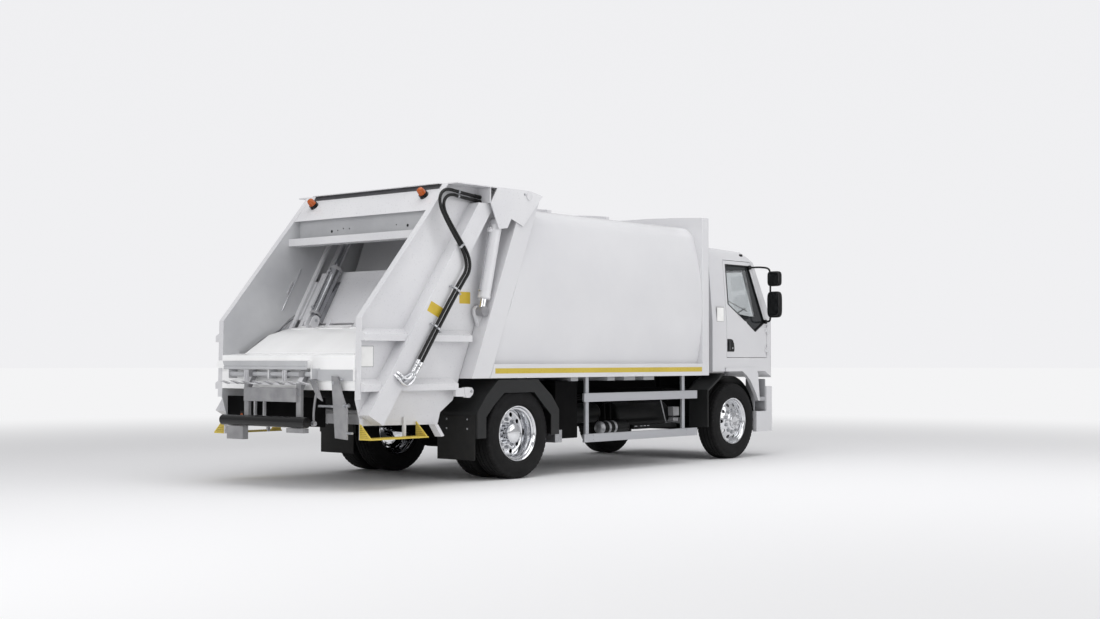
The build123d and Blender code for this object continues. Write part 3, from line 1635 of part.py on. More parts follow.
# Cab interior: floor-mounted seats and the dashboard
# Distance ahead of the cab's back wall, then height above the floor
seat_rows = (530, -530)
seat_half = 240
seat_line = (
    (230, 0), (660, 0), (740, 420), (400, 470), (290, 1080), (190, 1080), (230, 400),
)
dash_line = ((1120, 0), (1250, 0), (1250, 560), (1080, 600), (1030, 400))
with BuildPart() as cab_interior:
    floor_top = cab_floor_z + cab_wall + seat_gap
    for seat_y in seat_rows:
        slab(1, seat_y - seat_half, seat_y + seat_half,
             [(ahead(cab_back + x), floor_top + z) for x, z in seat_line])
    across(cab_half - 5 * cab_wall, [(ahead(cab_back + x), floor_top + z) for x, z in dash_line])
save(cab_interior, "cab_interior")

# Bumper with its pivot brackets
bumper_low = 330
bumper_high = 930
bumper_wall = 60
bumper_rear = 4900
pocket_front = 5150
pocket_low = 600
pocket_back = 4935
pocket_inner = 930
pocket_wall = 15
pocket_high = 1030
pocket_treads = ((560, 600), (735, 790))
tread_back = 5000
tow_radius = 20
tow_depth = 150
tow_y = -(rail_half - rail_flange / 2)
tow_z = rail_top - rail_height / 2
with BuildPart() as bumper:
    with BuildSketch(Plane.XY.offset(bumper_low)) as plan:
        with BuildLine():
            half = cab_half + 25
            nose = ahead(cab_front) - 20
            Line((ahead(bumper_rear), half), (nose - corner_cut, half))
            nose_curve(nose, half)
            Line((nose - corner_cut, -half), (ahead(bumper_rear), -half))
            inner_half = half - bumper_wall
            inner_nose = nose - bumper_wall
            Line((ahead(bumper_rear), -half), (ahead(bumper_rear), -inner_half))
            Line((ahead(bumper_rear), -inner_half), (inner_nose - corner_cut, -inner_half))
            nose_curve(inner_nose, inner_half)
            Line((inner_nose - corner_cut, inner_half), (ahead(bumper_rear), inner_half))
            Line((ahead(bumper_rear), inner_half), (ahead(bumper_rear), half))
        make_face()
    extrude(plan.sketch, amount=bumper_high - bumper_low)
    for side in (1, -1):
        block(
            (front_axle_x + rail_front + seat_gap, inner_nose),
            (side * (rail_half - rail_flange), side * rail_half),
            (rail_top - rail_height, rail_top),
        )
        block(
            (ahead(cab_pivot_ahead) - 2 * pivot_lug_wall, ahead(cab_pivot_ahead) + pivot_lug_wall),
            (side * (pivot_lug_half + joint_gap / 2), side * rail_half),
            (rail_top, cab_pivot_z + pivot_lug_wall),
        )
        rod_y(
            ahead(cab_pivot_ahead), cab_pivot_z, pivot_pin, side * rail_half,
            side * (pivot_lug_half - pivot_lug_wall),
        )
        block(
            (ahead(bumper_rear) - joint_gap, ahead(pocket_front)),
            (side * (inner_half - joint_gap), side * (half + joint_gap)),
            (pocket_low, bumper_high + joint_gap), Mode.SUBTRACT,
        )
    rod_x(tow_y, tow_z, tow_radius, nose - tow_depth, nose + overrun, Mode.SUBTRACT)
save(bumper, "bumper")

# Step pockets between the wheel arches and the bumper's corners
with BuildPart() as step_boxes:
    front_x = ahead(pocket_front) - seat_gap
    for side in (1, -1):
        block(
            (ahead(pocket_back), front_x), (side * pocket_inner, side * (pocket_inner + pocket_wall)),
            (bumper_low + pocket_wall, pocket_high),
        )
        block(
            (ahead(pocket_back), ahead(pocket_back) + pocket_wall),
            (side * pocket_inner, side * (inner_half - seat_gap)),
            (bumper_low + pocket_wall, pocket_high),
        )
        block(
            (front_x - pocket_wall, front_x), (side * pocket_inner, side * (half - pocket_wall)),
            (pocket_low + pocket_wall, pocket_high),
        )
        for low, high in pocket_treads:
            outer = inner_half - seat_gap if low < pocket_low else half - pocket_wall
            block(
                (ahead(tread_back), front_x), (side * pocket_inner, side * outer), (low, high),
            )
save(step_boxes, "step_boxes")
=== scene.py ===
"""Looks of a rear-loading refuse truck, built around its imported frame.

Metres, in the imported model's frame: X forward, Y to the truck's left, Z up, the ground at Z = 0.
"""

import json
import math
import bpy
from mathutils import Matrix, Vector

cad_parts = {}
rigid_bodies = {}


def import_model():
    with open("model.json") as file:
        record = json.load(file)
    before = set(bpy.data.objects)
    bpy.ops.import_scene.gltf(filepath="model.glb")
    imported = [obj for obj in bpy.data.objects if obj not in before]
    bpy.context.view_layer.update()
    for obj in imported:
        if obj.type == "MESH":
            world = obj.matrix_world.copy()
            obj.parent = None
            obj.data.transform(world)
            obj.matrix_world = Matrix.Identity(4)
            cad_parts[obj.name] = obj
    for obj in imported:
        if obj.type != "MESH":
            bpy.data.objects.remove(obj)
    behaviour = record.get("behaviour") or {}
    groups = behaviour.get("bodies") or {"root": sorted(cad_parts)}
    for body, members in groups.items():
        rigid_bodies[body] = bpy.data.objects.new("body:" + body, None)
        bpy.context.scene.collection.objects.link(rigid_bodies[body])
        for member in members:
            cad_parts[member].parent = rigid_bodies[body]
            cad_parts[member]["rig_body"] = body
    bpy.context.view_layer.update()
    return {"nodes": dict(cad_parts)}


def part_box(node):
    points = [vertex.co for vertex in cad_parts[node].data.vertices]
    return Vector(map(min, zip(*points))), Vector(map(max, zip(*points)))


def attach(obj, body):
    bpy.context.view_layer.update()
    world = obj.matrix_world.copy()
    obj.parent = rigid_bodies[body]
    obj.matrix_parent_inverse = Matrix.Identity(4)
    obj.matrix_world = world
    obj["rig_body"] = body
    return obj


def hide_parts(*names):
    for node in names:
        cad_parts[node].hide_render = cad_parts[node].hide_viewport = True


bl_info = {
    "name": "Refuse truck looks",
    "version": (1, 0, 0),
    "blender": (4, 5, 0),
    "location": "View3D > Sidebar > Refuse truck",
    "description": "Builds the finishes and fittings of a rear-loading refuse truck",
    "category": "Object",
}

import bmesh
import bpy
import numpy as np
from mathutils import Vector
from mathutils.bvhtree import BVHTree

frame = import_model()
NODES = frame["nodes"]


def middle(node):
    """Centre of a node's box."""
    low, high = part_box(node)
    return (low + high) / 2


REAR_X = middle("tyre_rear_left").x
FRONT_X = middle("tyre_front_left").x
AXLE_Z = middle("tyre_rear_left").z


def at(ahead, y, z):
    """A point given by its distance ahead of the rear axle."""
    return (REAR_X + ahead, y, z)


# Surfaces: each function returns points and faces worked out as whole arrays


def grid_faces(rows, columns, close_rows=False, close_columns=False):
    """Four-sided faces of a rows by columns grid, joined end to end where asked."""
    r = np.arange(rows if close_rows else rows - 1)[:, None]
    c = np.arange(columns if close_columns else columns - 1)[None, :]
    r_next, c_next = (r + 1) % rows, (c + 1) % columns
    quads = np.stack([
        r * columns + c, r * columns + c_next, r_next * columns + c_next, r_next * columns + c,
    ], axis=-1)
    return quads.reshape(-1, 4)


def square_frame(axis):
    """Two directions square to an axis and to each other."""
    axis = np.asarray(axis, float)
    axis = axis / np.linalg.norm(axis)
    helper = np.array([0.0, 0.0, 1.0]) if abs(axis[2]) < 0.9 else np.array([1.0, 0.0, 0.0])
    side = np.cross(helper, axis)
    side = side / np.linalg.norm(side)
    return axis, side, np.cross(axis, side)


def spun(profile, centre, axis=(0, 1, 0), turns=48):
    """A turned form: centre + axis a + (side cos t + up sin t) r, for profile points (r, a)."""
    axis, side, up = square_frame(axis)
    profile = np.asarray(profile, float)
    t = np.linspace(0, 2 * np.pi, turns, endpoint=False)[:, None, None]
    r, a = profile[None, :, 0, None], profile[None, :, 1, None]
    points = np.asarray(centre) + axis * a + (side * np.cos(t) + up * np.sin(t)) * r
    return points.reshape(-1, 3), grid_faces(turns, len(profile), close_rows=True)


def round_bar(radius, low, high, centre, axis, turns):
    """A plain round bar that runs from low to high along its axis."""
    return spun([(0, low), (radius, low), (radius, high), (0, high)], centre, axis, turns)


def smooth_path(points, steps=8):
    """A smooth line through points: cubic with slopes (p[i+1] - p[i-1]) / 2 at each point."""
    p = np.asarray(points, float)
    slope = np.gradient(p, axis=0)
    u = np.linspace(0, 1, steps, endpoint=False)[None, :, None]
    a, b, m, n = p[:-1, None], p[1:, None], slope[:-1, None], slope[1:, None]
    line = (
        (2 * u**3 - 3 * u**2 + 1) * a + (u**3 - 2 * u**2 + u) * m
        + (3 * u**2 - 2 * u**3) * b + (u**3 - u**2) * n
    )
    return np.vstack([line.reshape(-1, 3), p[-1:]])


def swept(path, radius, sides=12, helper=None):
    """A round bar along a path: path + (side cos t + up sin t) r, capped by rings of no radius."""
    path = np.asarray(path, float)
    run = np.gradient(path, axis=0)
    run = run / np.linalg.norm(run, axis=1)[:, None]
    if helper is None:
        helper = np.eye(3)[np.abs(run).max(axis=0).argmin()]
    side = np.cross(run, np.asarray(helper, float))
    side = side / np.linalg.norm(side, axis=1)[:, None]
    up = np.cross(side, run)
    path = np.vstack([path[:1], path, path[-1:]])
    side, up = side[[0, *range(len(side)), -1]], up[[0, *range(len(up)), -1]]
    radii = np.concatenate([[0.0], np.broadcast_to(radius, len(path) - 2), [0.0]])
    t = np.linspace(0, 2 * np.pi, sides, endpoint=False)[None, :, None]
    around = side[:, None] * np.cos(t) + up[:, None] * np.sin(t)
    points = path[:, None] + around * radii[:, None, None]
    return points.reshape(-1, 3), grid_faces(len(path), sides, close_columns=True)


def coil(start, axis, radius, turns, pitch, wire):
    """A helical spring: start + axis pitch t / 2 pi + (side cos t + up sin t) radius."""
    axis, side, up = square_frame(axis)
    t = np.linspace(0, 2 * np.pi * turns, int(20 * turns))[:, None]
    around = (side * np.cos(t) + up * np.sin(t)) * radius
    return swept(np.asarray(start) + axis * pitch * t / (2 * np.pi) + around, wire, 8, axis)


def rounded_outline(width, height, corner, steps=4):
    """A rectangle with round corners: its four corner centres plus corner (cos t, sin t)."""
    t = np.linspace(0, np.pi / 2, steps)
    arc = np.stack([np.cos(t), np.sin(t)], axis=1) * corner
    turn = np.array([[0, -1], [1, 0]])
    arcs = [arc @ np.linalg.matrix_power(turn.T, k) for k in range(4)]
    x, z = width - corner, height - corner
    centres = [(x, z), (corner, z), (corner, corner), (x, corner)]
    return np.vstack([a + c for a, c in zip(arcs, centres)])


def carried(start, end):
    """An outline carried from one place to another, closed by walls and both ends."""
    count = len(start)
    ring = np.arange(count)
    walls = np.stack([ring, (ring + 1) % count, (ring + 1) % count + count, ring + count], axis=1)
    return np.vstack([start, end]), [*walls.tolist(), ring[::-1].tolist(), (ring + count).tolist()]


def prism(outline, axis, start, end):
    """A flat form: a closed outline of two coordinates, carried from start to end along an axis."""
    outline, column = np.asarray(outline, float), "xyz".index(axis)
    return carried(*(np.insert(outline, column, place_at, axis=1) for place_at in (start, end)))


def span(side, near, far):
    """Low and high Y of what lies between two distances from the middle, on one side."""
    return sorted((side * near, side * far))


def slab(outline, side, near, far):
    """A plate across Y: its outline is in distance ahead of the rear axle and height."""
    return prism([(REAR_X + ahead, z) for ahead, z in outline], "y", *span(side, near, far))


def box_form(low, high):
    """A block between two corners, to be given round edges by its piece's bevel."""
    return prism([(low[1], low[2]), (high[1], low[2]), (high[1], high[2]), (low[1], high[2])],
                 "x", low[0], high[0])


def tilted(outline, origin, across, upward, depth):
    """A flat form on a leaning plane: origin + across u + upward v, with a depth square to both."""
    across, upward = np.asarray(across, float), np.asarray(upward, float)
    across, upward = across / np.linalg.norm(across), upward / np.linalg.norm(upward)
    outline = np.asarray(outline, float)
    flat = np.asarray(origin) + outline[:, :1] * across + outline[:, 1:] * upward
    return carried(flat, flat + np.cross(across, upward) * depth)


def pillow(centre, half, power=0.3, rows=20, columns=40):
    """A rounded box: half (cos^p v cos^p u, cos^p v sin^p u, sin^p v), with the signs kept."""
    u = np.linspace(-np.pi, np.pi, columns, endpoint=False)[None, :]
    v = np.linspace(-np.pi / 2, np.pi / 2, rows)[:, None]

    def bent(value):
        return np.sign(value) * np.abs(value) ** power

    points = np.stack([
        bent(np.cos(v)) * bent(np.cos(u)), bent(np.cos(v)) * bent(np.sin(u)),
        bent(np.sin(v)) + 0 * u,
    ], axis=-1) * np.asarray(half) + np.asarray(centre)
    return points.reshape(-1, 3), grid_faces(rows, columns, close_columns=True)


# Points nearer than this are one, in metres
WELD = 0.00002
# Faces that lean less than this against each other are one flat face, in degrees
FLAT = 0.6


class Piece:
    """Gathers worked-out surfaces, then becomes one object made of the finishes that they name."""

    def __init__(self, name):
        self.name = name
        self.points, self.faces, self.kinds, self.count = [], [], [], 0

    def add(self, form, kind):
        """One form in one kind of finish."""
        points, faces = form
        self.points.append(np.asarray(points, float))
        self.faces.extend([[corner + self.count for corner in face] for face in faces])
        self.kinds.extend([kind] * len(faces))
        self.count += len(points)

    def bolt(self, centre, axis, across, height):
        """A six-sided head with a chamfered top on a round washer."""
        self.add(round_bar(across * 0.8, 0, height * 0.25, centre, axis, 16), "zinc_plate")
        head = [(0, height * 0.2), (across * 0.6, height * 0.2), (across * 0.6, height * 0.85),
                (across * 0.5, height), (0, height)]
        self.add(spun(head, centre, axis, 6), "zinc_plate")

    def block(self, low, high, kind):
        """A block between two corners given from the rear axle."""
        self.add(box_form(at(*low), at(*high)), kind)

    def build(self, body, edge=0.0, angle=32.0, stands_for=()):
        """Makes the mesh, closes its seams, turns its faces outwards and puts it on its body."""
        kinds = list(dict.fromkeys(self.kinds))
        mesh = bpy.data.meshes.new(self.name)
        mesh.from_pydata(np.vstack(self.points).tolist(), [], self.faces)
        mesh.polygons.foreach_set("material_index", [kinds.index(kind) for kind in self.kinds])
        for kind in kinds:
            mesh.materials.append(finish_of(kind))
        work = bmesh.new()
        work.from_mesh(mesh)
        bmesh.ops.remove_doubles(work, verts=work.verts, dist=WELD)
        bmesh.ops.recalc_face_normals(work, faces=work.faces)
        work.to_mesh(mesh)
        work.free()
        return place(mesh, self.name, body, edge, angle, stands_for)


def place(mesh, name, body, edge, angle, stands_for):
    """One finished mesh as an object on its body, with smooth curves and rounded edges."""
    mesh.shade_smooth()
    mesh.set_sharp_from_angle(angle=math.radians(angle))
    piece = bpy.data.objects.new(name, mesh)
    bpy.context.scene.collection.objects.link(piece)
    if edge:
        rounding = piece.modifiers.new("edges", "BEVEL")
        rounding.width = edge
        rounding.segments = 2
        rounding.limit_method = "ANGLE"
        rounding.angle_limit = math.radians(40)
        rounding.harden_normals = True
    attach(piece, body)
    if stands_for:
        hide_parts(*stands_for)
    return piece


def dress(node, kind, edge=0.004, angle=30.0, zones=()):
    """A welded copy of a CAD node with clean faces and rounded edges, in its finish.

    Each zone names the finish of the faces whose middles lie between its two corners.
    """
    mesh = NODES[node].data.copy()
    mesh.materials.clear()
    work = bmesh.new()
    work.from_mesh(mesh)
    bmesh.ops.remove_doubles(work, verts=work.verts, dist=WELD)
    bmesh.ops.dissolve_limit(work, angle_limit=math.radians(FLAT), verts=work.verts,
                             edges=work.edges, delimit={"NORMAL"})
    work.to_mesh(mesh)
    work.free()
    if "custom_normal" in mesh.attributes:
        mesh.attributes.remove(mesh.attributes["custom_normal"])
    centres = np.zeros(len(mesh.polygons) * 3, np.float32)
    mesh.polygons.foreach_get("center", centres)
    centres = centres.reshape(-1, 3)
    numbers = np.zeros(len(centres), np.int32)
    mesh.materials.append(finish_of(kind))
    for number, (other, low, high) in enumerate(zones, 1):
        mesh.materials.append(finish_of(other))
        numbers[((centres > low) & (centres < high)).all(axis=1)] = number
    mesh.polygons.foreach_set("material_index", numbers)
    return place(mesh, node + "_skin", NODES[node]["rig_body"], edge, angle, (node,))


TREES = {}


def touch(node, start, toward):
    """The point and outward direction where a line from start first meets a CAD node."""
    if node not in TREES:
        mesh = NODES[node].data
        corners = np.zeros(len(mesh.vertices) * 3, np.float32)
        mesh.vertices.foreach_get("co", corners)
        faces = [tuple(face.vertices) for face in mesh.polygons]
        TREES[node] = BVHTree.FromPolygons(corners.reshape(-1, 3).tolist(), faces)
    point, normal, _, _ = TREES[node].ray_cast(Vector(start), Vector(toward))
    if point is None:
        raise ValueError(f"{node} isn't met from {tuple(start)}")
    return np.array(point), np.array(normal)


# Finishes


def colour(code):
    """Linear colour of sRGB hex: c / 12.92 up to 0.04045, else ((c + 0.055) / 1.055)^2.4."""
    c = np.array([int(code[i:i + 2], 16) for i in (1, 3, 5)]) / 255
    return (*np.where(c <= 0.04045, c / 12.92, ((c + 0.055) / 1.055) ** 2.4).tolist(), 1.0)


def add_node(tree, kind, links=None, **settings):
    """One shader node with its settings, and with values or other nodes' sockets on its inputs."""
    made = tree.nodes.new(kind)
    for name, value in settings.items():
        setattr(made, name, value)
    for name, value in (links or {}).items():
        if isinstance(value, bpy.types.NodeSocket):
            tree.links.new(value, made.inputs[name])
        else:
            made.inputs[name].default_value = value
    return made


def new_finish(name):
    """An empty material with its shader and output, and the object's own coordinates."""
    material = bpy.data.materials.new(name + "_finish")
    material.use_nodes = True
    tree = material.node_tree
    tree.nodes.clear()
    shader = add_node(tree, "ShaderNodeBsdfPrincipled")
    add_node(tree, "ShaderNodeOutputMaterial", {"Surface": shader.outputs[0]})
    place_of = add_node(tree, "ShaderNodeTexCoord").outputs["Object"]
    return material, tree, shader, place_of


# Road dust on the lower parts
DUST = "#94918B"


def coating(name, base, tint, rough, blotch=0.9, grain=0.012, depth=0.0006, spread=0.06, metal=0.0,
            coat=0.0, dust=0.0, dust_top=1.2, stretch=(1, 1, 1), shine=0.5):
    """A sprayed, rolled or cast surface.

    Its colour wanders from base to tint over blotches of a size in metres, its roughness with it,
    a finer grain of a size in metres gives the bump, and dust gathers below a height.
    """
    if name + "_finish" in bpy.data.materials:
        return bpy.data.materials[name + "_finish"]
    material, tree, shader, here = new_finish(name)
    laid = add_node(tree, "ShaderNodeMapping", {"Vector": here, "Scale": stretch}).outputs[0]
    broad = add_node(tree, "ShaderNodeTexNoise", {
        "Vector": laid, "Scale": 1 / blotch, "Detail": 5.0, "Roughness": 0.55})
    fine = add_node(tree, "ShaderNodeTexNoise", {"Vector": laid, "Scale": 1 / grain, "Detail": 2.0})
    share = add_node(tree, "ShaderNodeMapRange", {
        "Value": broad.outputs["Fac"], "From Min": 0.35, "From Max": 0.68}).outputs[0]
    skin = add_node(tree, "ShaderNodeMix", {0: share, 6: colour(base), 7: colour(tint)},
                    data_type="RGBA").outputs[2]
    gloss = add_node(tree, "ShaderNodeMapRange", {
        "Value": fine.outputs["Fac"], "From Min": 0.3, "From Max": 0.7,
        "To Min": max(rough - spread, 0.02), "To Max": rough + spread}).outputs[0]
    if dust:
        height = add_node(tree, "ShaderNodeSeparateXYZ", {"Vector": here}).outputs["Z"]
        low = add_node(tree, "ShaderNodeMapRange", {
            "Value": height, "From Min": dust_top, "From Max": 0.15}).outputs[0]
        speck = add_node(tree, "ShaderNodeTexNoise", {"Vector": here, "Scale": 9.0, "Detail": 6.0})
        amount = add_node(tree, "ShaderNodeMath", {0: low, 1: speck.outputs["Fac"]},
                          operation="MULTIPLY").outputs[0]
        amount = add_node(tree, "ShaderNodeMath", {0: amount, 1: dust},
                          operation="MULTIPLY").outputs[0]
        skin = add_node(tree, "ShaderNodeMix", {0: amount, 6: skin, 7: colour(DUST)},
                        data_type="RGBA").outputs[2]
    bump = add_node(tree, "ShaderNodeBump", {
        "Height": fine.outputs["Fac"], "Distance": depth, "Strength": 0.5}).outputs[0]
    tree.links.new(skin, shader.inputs["Base Color"])
    tree.links.new(gloss, shader.inputs["Roughness"])
    tree.links.new(bump, shader.inputs["Normal"])
    shader.inputs["Metallic"].default_value = metal
    shader.inputs["Specular IOR Level"].default_value = shine
    shader.inputs["Coat Weight"].default_value = coat
    shader.inputs["Coat Roughness"].default_value = 0.05
    return material


# Grain sizes are real ones or as fine as shows
CLEAR = {
    # Tinted float glass of the cab
    "float_glass": dict(code="#EAEDEE"),
    # Polycarbonate lenses of the beacons and lamps
    "amber_lens": dict(code="#CC6420", rough=0.10, weight=0.35),
    "red_lens": dict(code="#A01812", rough=0.08, weight=0.4),
    "clear_lens": dict(code="#F2F4F4", rough=0.03, weight=0.8),
}
COATINGS = {
    # Two-pack polyurethane coach enamel: a deep even gloss with faint orange peel
    "coach_enamel": dict(base="#D8D8DA", tint="#D1D1D4", rough=0.24, blotch=1.4, grain=0.016,
         depth=0.00025, spread=0.03, coat=0.35, dust=0.10, dust_top=1.5),
    # The same enamel on the tailgate, duller and scuffed by work
    "tailgate_enamel": dict(base="#DADADC", tint="#D1D1D4", rough=0.32, blotch=0.7, grain=0.02,
         depth=0.0004, coat=0.15, dust=0.10, dust_top=1.4),
    # Scoured hopper plate: enamel worn by sliding refuse into streaks down the slope
    "hopper_plate": dict(base="#FBFBFB", tint="#F4F4F4", rough=0.20, grain=0.016, depth=0.0002,
         spread=0.05, stretch=(1, 2.2, 0.7)),
    # Grey enamel inside the tailgate, blotched: its grey is painted shade, standing for the shade
    # inside the tailgate, under its beam and behind the comb
    "inner_painted_shade": dict(base="#C4C5C7", tint="#B2B3B6", rough=0.36, blotch=0.6, grain=0.014,
         depth=0.0004, spread=0.07),
    # Lifter steel: mid grey machine enamel with rubbed patches
    "machine_enamel": dict(base="#9C9C9E", tint="#858588", rough=0.42, blotch=0.16, grain=0.008,
         spread=0.10, metal=0.1, dust=0.25),
    # Chassis black: thick brushed stove enamel, dusty from the road
    "chassis_black": dict(base="#0A0A0B", tint="#101011", rough=0.55, blotch=0.4, grain=0.010,
         depth=0.0008, spread=0.10, dust=0.03, dust_top=1.1, shine=0.02),
    # Fender plastic: grained polyethylene, dark grey and matt
    "fender_plastic": dict(base="#1E1F20", tint="#191A1B", rough=0.52, blotch=0.5, grain=0.006,
         depth=0.0008, dust=0.05, shine=0.3),
    # Fibre-filled rubber sheet of the mud flaps
    "flap_rubber": dict(base="#161616", tint="#1C1C1C", rough=0.66, blotch=0.12, grain=0.005,
         depth=0.0008, dust=0.05, shine=0.3),
    # Vulcanised tyre rubber: matt, a little brown where the road has rubbed it
    "tyre_rubber": dict(base="#161617", tint="#1C1C1D", rough=0.70, blotch=0.10, grain=0.006,
         depth=0.0008, spread=0.08, dust=0.03, shine=0.12),
    # Anodised aluminium extrusion of the side guards, drawn along its length
    "guard_aluminium": dict(base="#B9BABE", tint="#AEB0B4", rough=0.36, blotch=0.5, grain=0.010,
         depth=0.0003, metal=0.65, stretch=(0.12, 1, 3)),
    # Polished and chromed wheel steel
    "wheel_chrome": dict(base="#E6E7E9", tint="#D2D3D6", rough=0.11, blotch=0.12, grain=0.02,
         depth=0.0003, spread=0.04, metal=1.0),
    # Hard chrome of the piston rods: ground and polished, nearly a mirror
    "rod_chrome": dict(base="#EDEDEF", tint="#E2E2E5", rough=0.10, blotch=0.2, depth=0.0001,
         spread=0.02, metal=1.0),
    # Zinc-plated fittings and fasteners: silvery with a cloudy passivation
    "zinc_plate": dict(base="#C4C5C8", tint="#A9ABAF", rough=0.30, blotch=0.04, grain=0.006,
         depth=0.0003, metal=0.9),
    # Safety yellow: gritty sprayed enamel of the steps
    "safety_yellow": dict(base="#D6BE4A", tint="#C7AD3A", rough=0.50, blotch=0.15, grain=0.008,
         depth=0.0012, spread=0.10, dust=0.15),
    # Yellow vinyl tape along the sill
    "tape_yellow": dict(base="#C9B23E", tint="#BFA838", rough=0.32, blotch=0.6, grain=0.020,
         depth=0.0002, dust=0.10, dust_top=1.4),
    # Extruded hose cover: black rubber, cloth marked
    "hose_rubber": dict(base="#080809", tint="#101011", rough=0.45, blotch=0.10, grain=0.004,
         depth=0.0010, spread=0.08, shine=0.35),
    # Smooth black rubber sleeve of the buffer roller
    "roller_rubber": dict(base="#060607", tint="#0B0B0C", rough=0.22, blotch=0.3, grain=0.010,
         depth=0.0003, spread=0.05, coat=0.2, shine=0.3),
    # Moulded black polycarbonate and rubber of the mirrors, boots and seals
    "moulded_black": dict(base="#070808", tint="#0C0C0D", rough=0.36, blotch=0.3, grain=0.004,
         depth=0.0004, spread=0.05, shine=0.25),
    # Grey seat cloth and dashboard foam
    "cab_trim": dict(base="#6E7074", tint="#606266", rough=0.80, blotch=0.08, grain=0.006,
         depth=0.0012),
    # Grey moulded plastic of the cab's step pocket and lamp surround
    "step_grey": dict(base="#A6A7AA", tint="#999A9D", rough=0.45, blotch=0.3, grain=0.008,
         depth=0.0005, dust=0.15),
    # Black enamel of the tanks and silencer, hidden in the body's shadow
    "tank_black": dict(base="#08090A", tint="#0E0F10", rough=0.38, blotch=0.3, grain=0.010,
         depth=0.0005, spread=0.08, dust=0.03, shine=0.10),
    # Rolled aluminium tank ends, straps and brackets
    "tank_aluminium": dict(base="#B4B5B8", tint="#9C9DA0", rough=0.32, blotch=0.10, grain=0.008,
         depth=0.0004, metal=0.7, dust=0.1),
    # Outer tubes of the packing cylinders: glossy enamel, rubbed bright
    "barrel_polish": dict(base="#A9AAAD", tint="#8E8F93", rough=0.15, blotch=0.25, depth=0.0002,
         spread=0.05, metal=0.85),
    # Mirror glass made dark and not metallic, in a matt surround: a painted dark reflection in
    # place of a mirror's own
    "dark_glass_painted_reflection": dict(base="#0E0F10", tint="#141517", rough=0.07, blotch=0.4, grain=0.02,
         depth=0.0001, spread=0.02),
    # Black ceramic print round the windows; the same black is painted shade in the beam's bolt
    # holes
    "black_print_and_hole_shade": dict(base="#26282A", tint="#2C2E30", rough=0.10, blotch=0.5, grain=0.02,
         depth=0.0001, spread=0.02),
    # Dark grey strip under the roof's lip: painted shade of the lip's overhang
    "lip_painted_shade": dict(base="#4A4A4C", tint="#56565A", rough=0.60, blotch=0.2, grain=0.006,
         depth=0.0005, shine=0.3),
    # Blank label: printed vinyl, here without any print
    "label_yellow": dict(base="#CFB235", tint="#C6A92F", rough=0.38, blotch=0.1, grain=0.01,
         depth=0.0001),
    "label_white": dict(base="#F6F6F4", tint="#EEEEEC", rough=0.38, blotch=0.1, grain=0.01,
         depth=0.0001),
    # Dark print of the pattern on the yellow steps
    "label_dark": dict(base="#2C2522", tint="#3A2F2A", rough=0.38, blotch=0.1, grain=0.01,
         depth=0.0001),
}


def finish_of(kind):
    """The finish of a kind of surface, made once."""
    if kind in CLEAR:
        return glass(kind, **CLEAR[kind])
    return coating(kind, **COATINGS[kind])


def glass(name, code, rough=0.02, weight=0.9):
    """Float glass or a clear moulding: light passes, tinted by its colour."""
    if name + "_finish" in bpy.data.materials:
        return bpy.data.materials[name + "_finish"]
    material, tree, shader, here = new_finish(name)
    film = add_node(tree, "ShaderNodeTexNoise", {"Vector": here, "Scale": 3.0, "Detail": 4.0})
    gloss = add_node(tree, "ShaderNodeMapRange", {
        "Value": film.outputs["Fac"], "To Min": rough, "To Max": rough * 3}).outputs[0]
    tree.links.new(gloss, shader.inputs["Roughness"])
    shader.inputs["Base Color"].default_value = colour(code)
    shader.inputs["Transmission Weight"].default_value = weight
    shader.inputs["IOR"].default_value = 1.5
    return material


# Stage, light and camera

PHOTO_LENS, PHOTO_SENSOR = 49.42, 36.0
PHOTO_EYE = (-13.771, -12.035, 1.286)
PHOTO_YAW, PHOTO_PITCH = 40.16, 1.91
# Distances from the middle between which the floor fades to an even tone
FLOOR_FADE = (4.5, 19.0)
FLOOR_RINGS = (0.0, 8.0, 20.0, 60.0, 240.0)
BACKDROP_RADIUS = 230


def floor_finish(settings):
    """Matt studio floor that fades into an even tone with distance from its middle."""
    material, tree, shader, here = new_finish("studio_floor")
    shader.inputs["Base Color"].default_value = colour(settings.floor_tone)
    shader.inputs["Roughness"].default_value = 0.75
    reach = add_node(tree, "ShaderNodeVectorMath", {0: here}, operation="LENGTH").outputs["Value"]
    share = add_node(tree, "ShaderNodeMapRange", {
        "Value": reach, "From Min": FLOOR_FADE[0], "From Max": FLOOR_FADE[1]},
        interpolation_type="SMOOTHSTEP").outputs[0]
    glow = add_node(tree, "ShaderNodeEmission", {
        "Color": colour(settings.floor_tone), "Strength": settings.backdrop_light}).outputs[0]
    both = add_node(tree, "ShaderNodeMixShader",
                    {0: share, 1: shader.outputs[0], 2: glow}).outputs[0]
    output = next(n for n in tree.nodes if n.type == "OUTPUT_MATERIAL")
    tree.links.new(both, output.inputs["Surface"])
    return material


def area_light(name, place_at, target, size, power):
    """A white soft box that looks from its place at a target."""
    lamp = bpy.data.lights.new(name, "AREA")
    lamp.shape = "RECTANGLE"
    lamp.size, lamp.size_y = size
    lamp.energy = power
    holder = bpy.data.objects.new(name, lamp)
    bpy.context.scene.collection.objects.link(holder)
    holder.location = place_at
    holder.rotation_euler = (Vector(target) - Vector(place_at)).to_track_quat("-Z", "Y").to_euler()


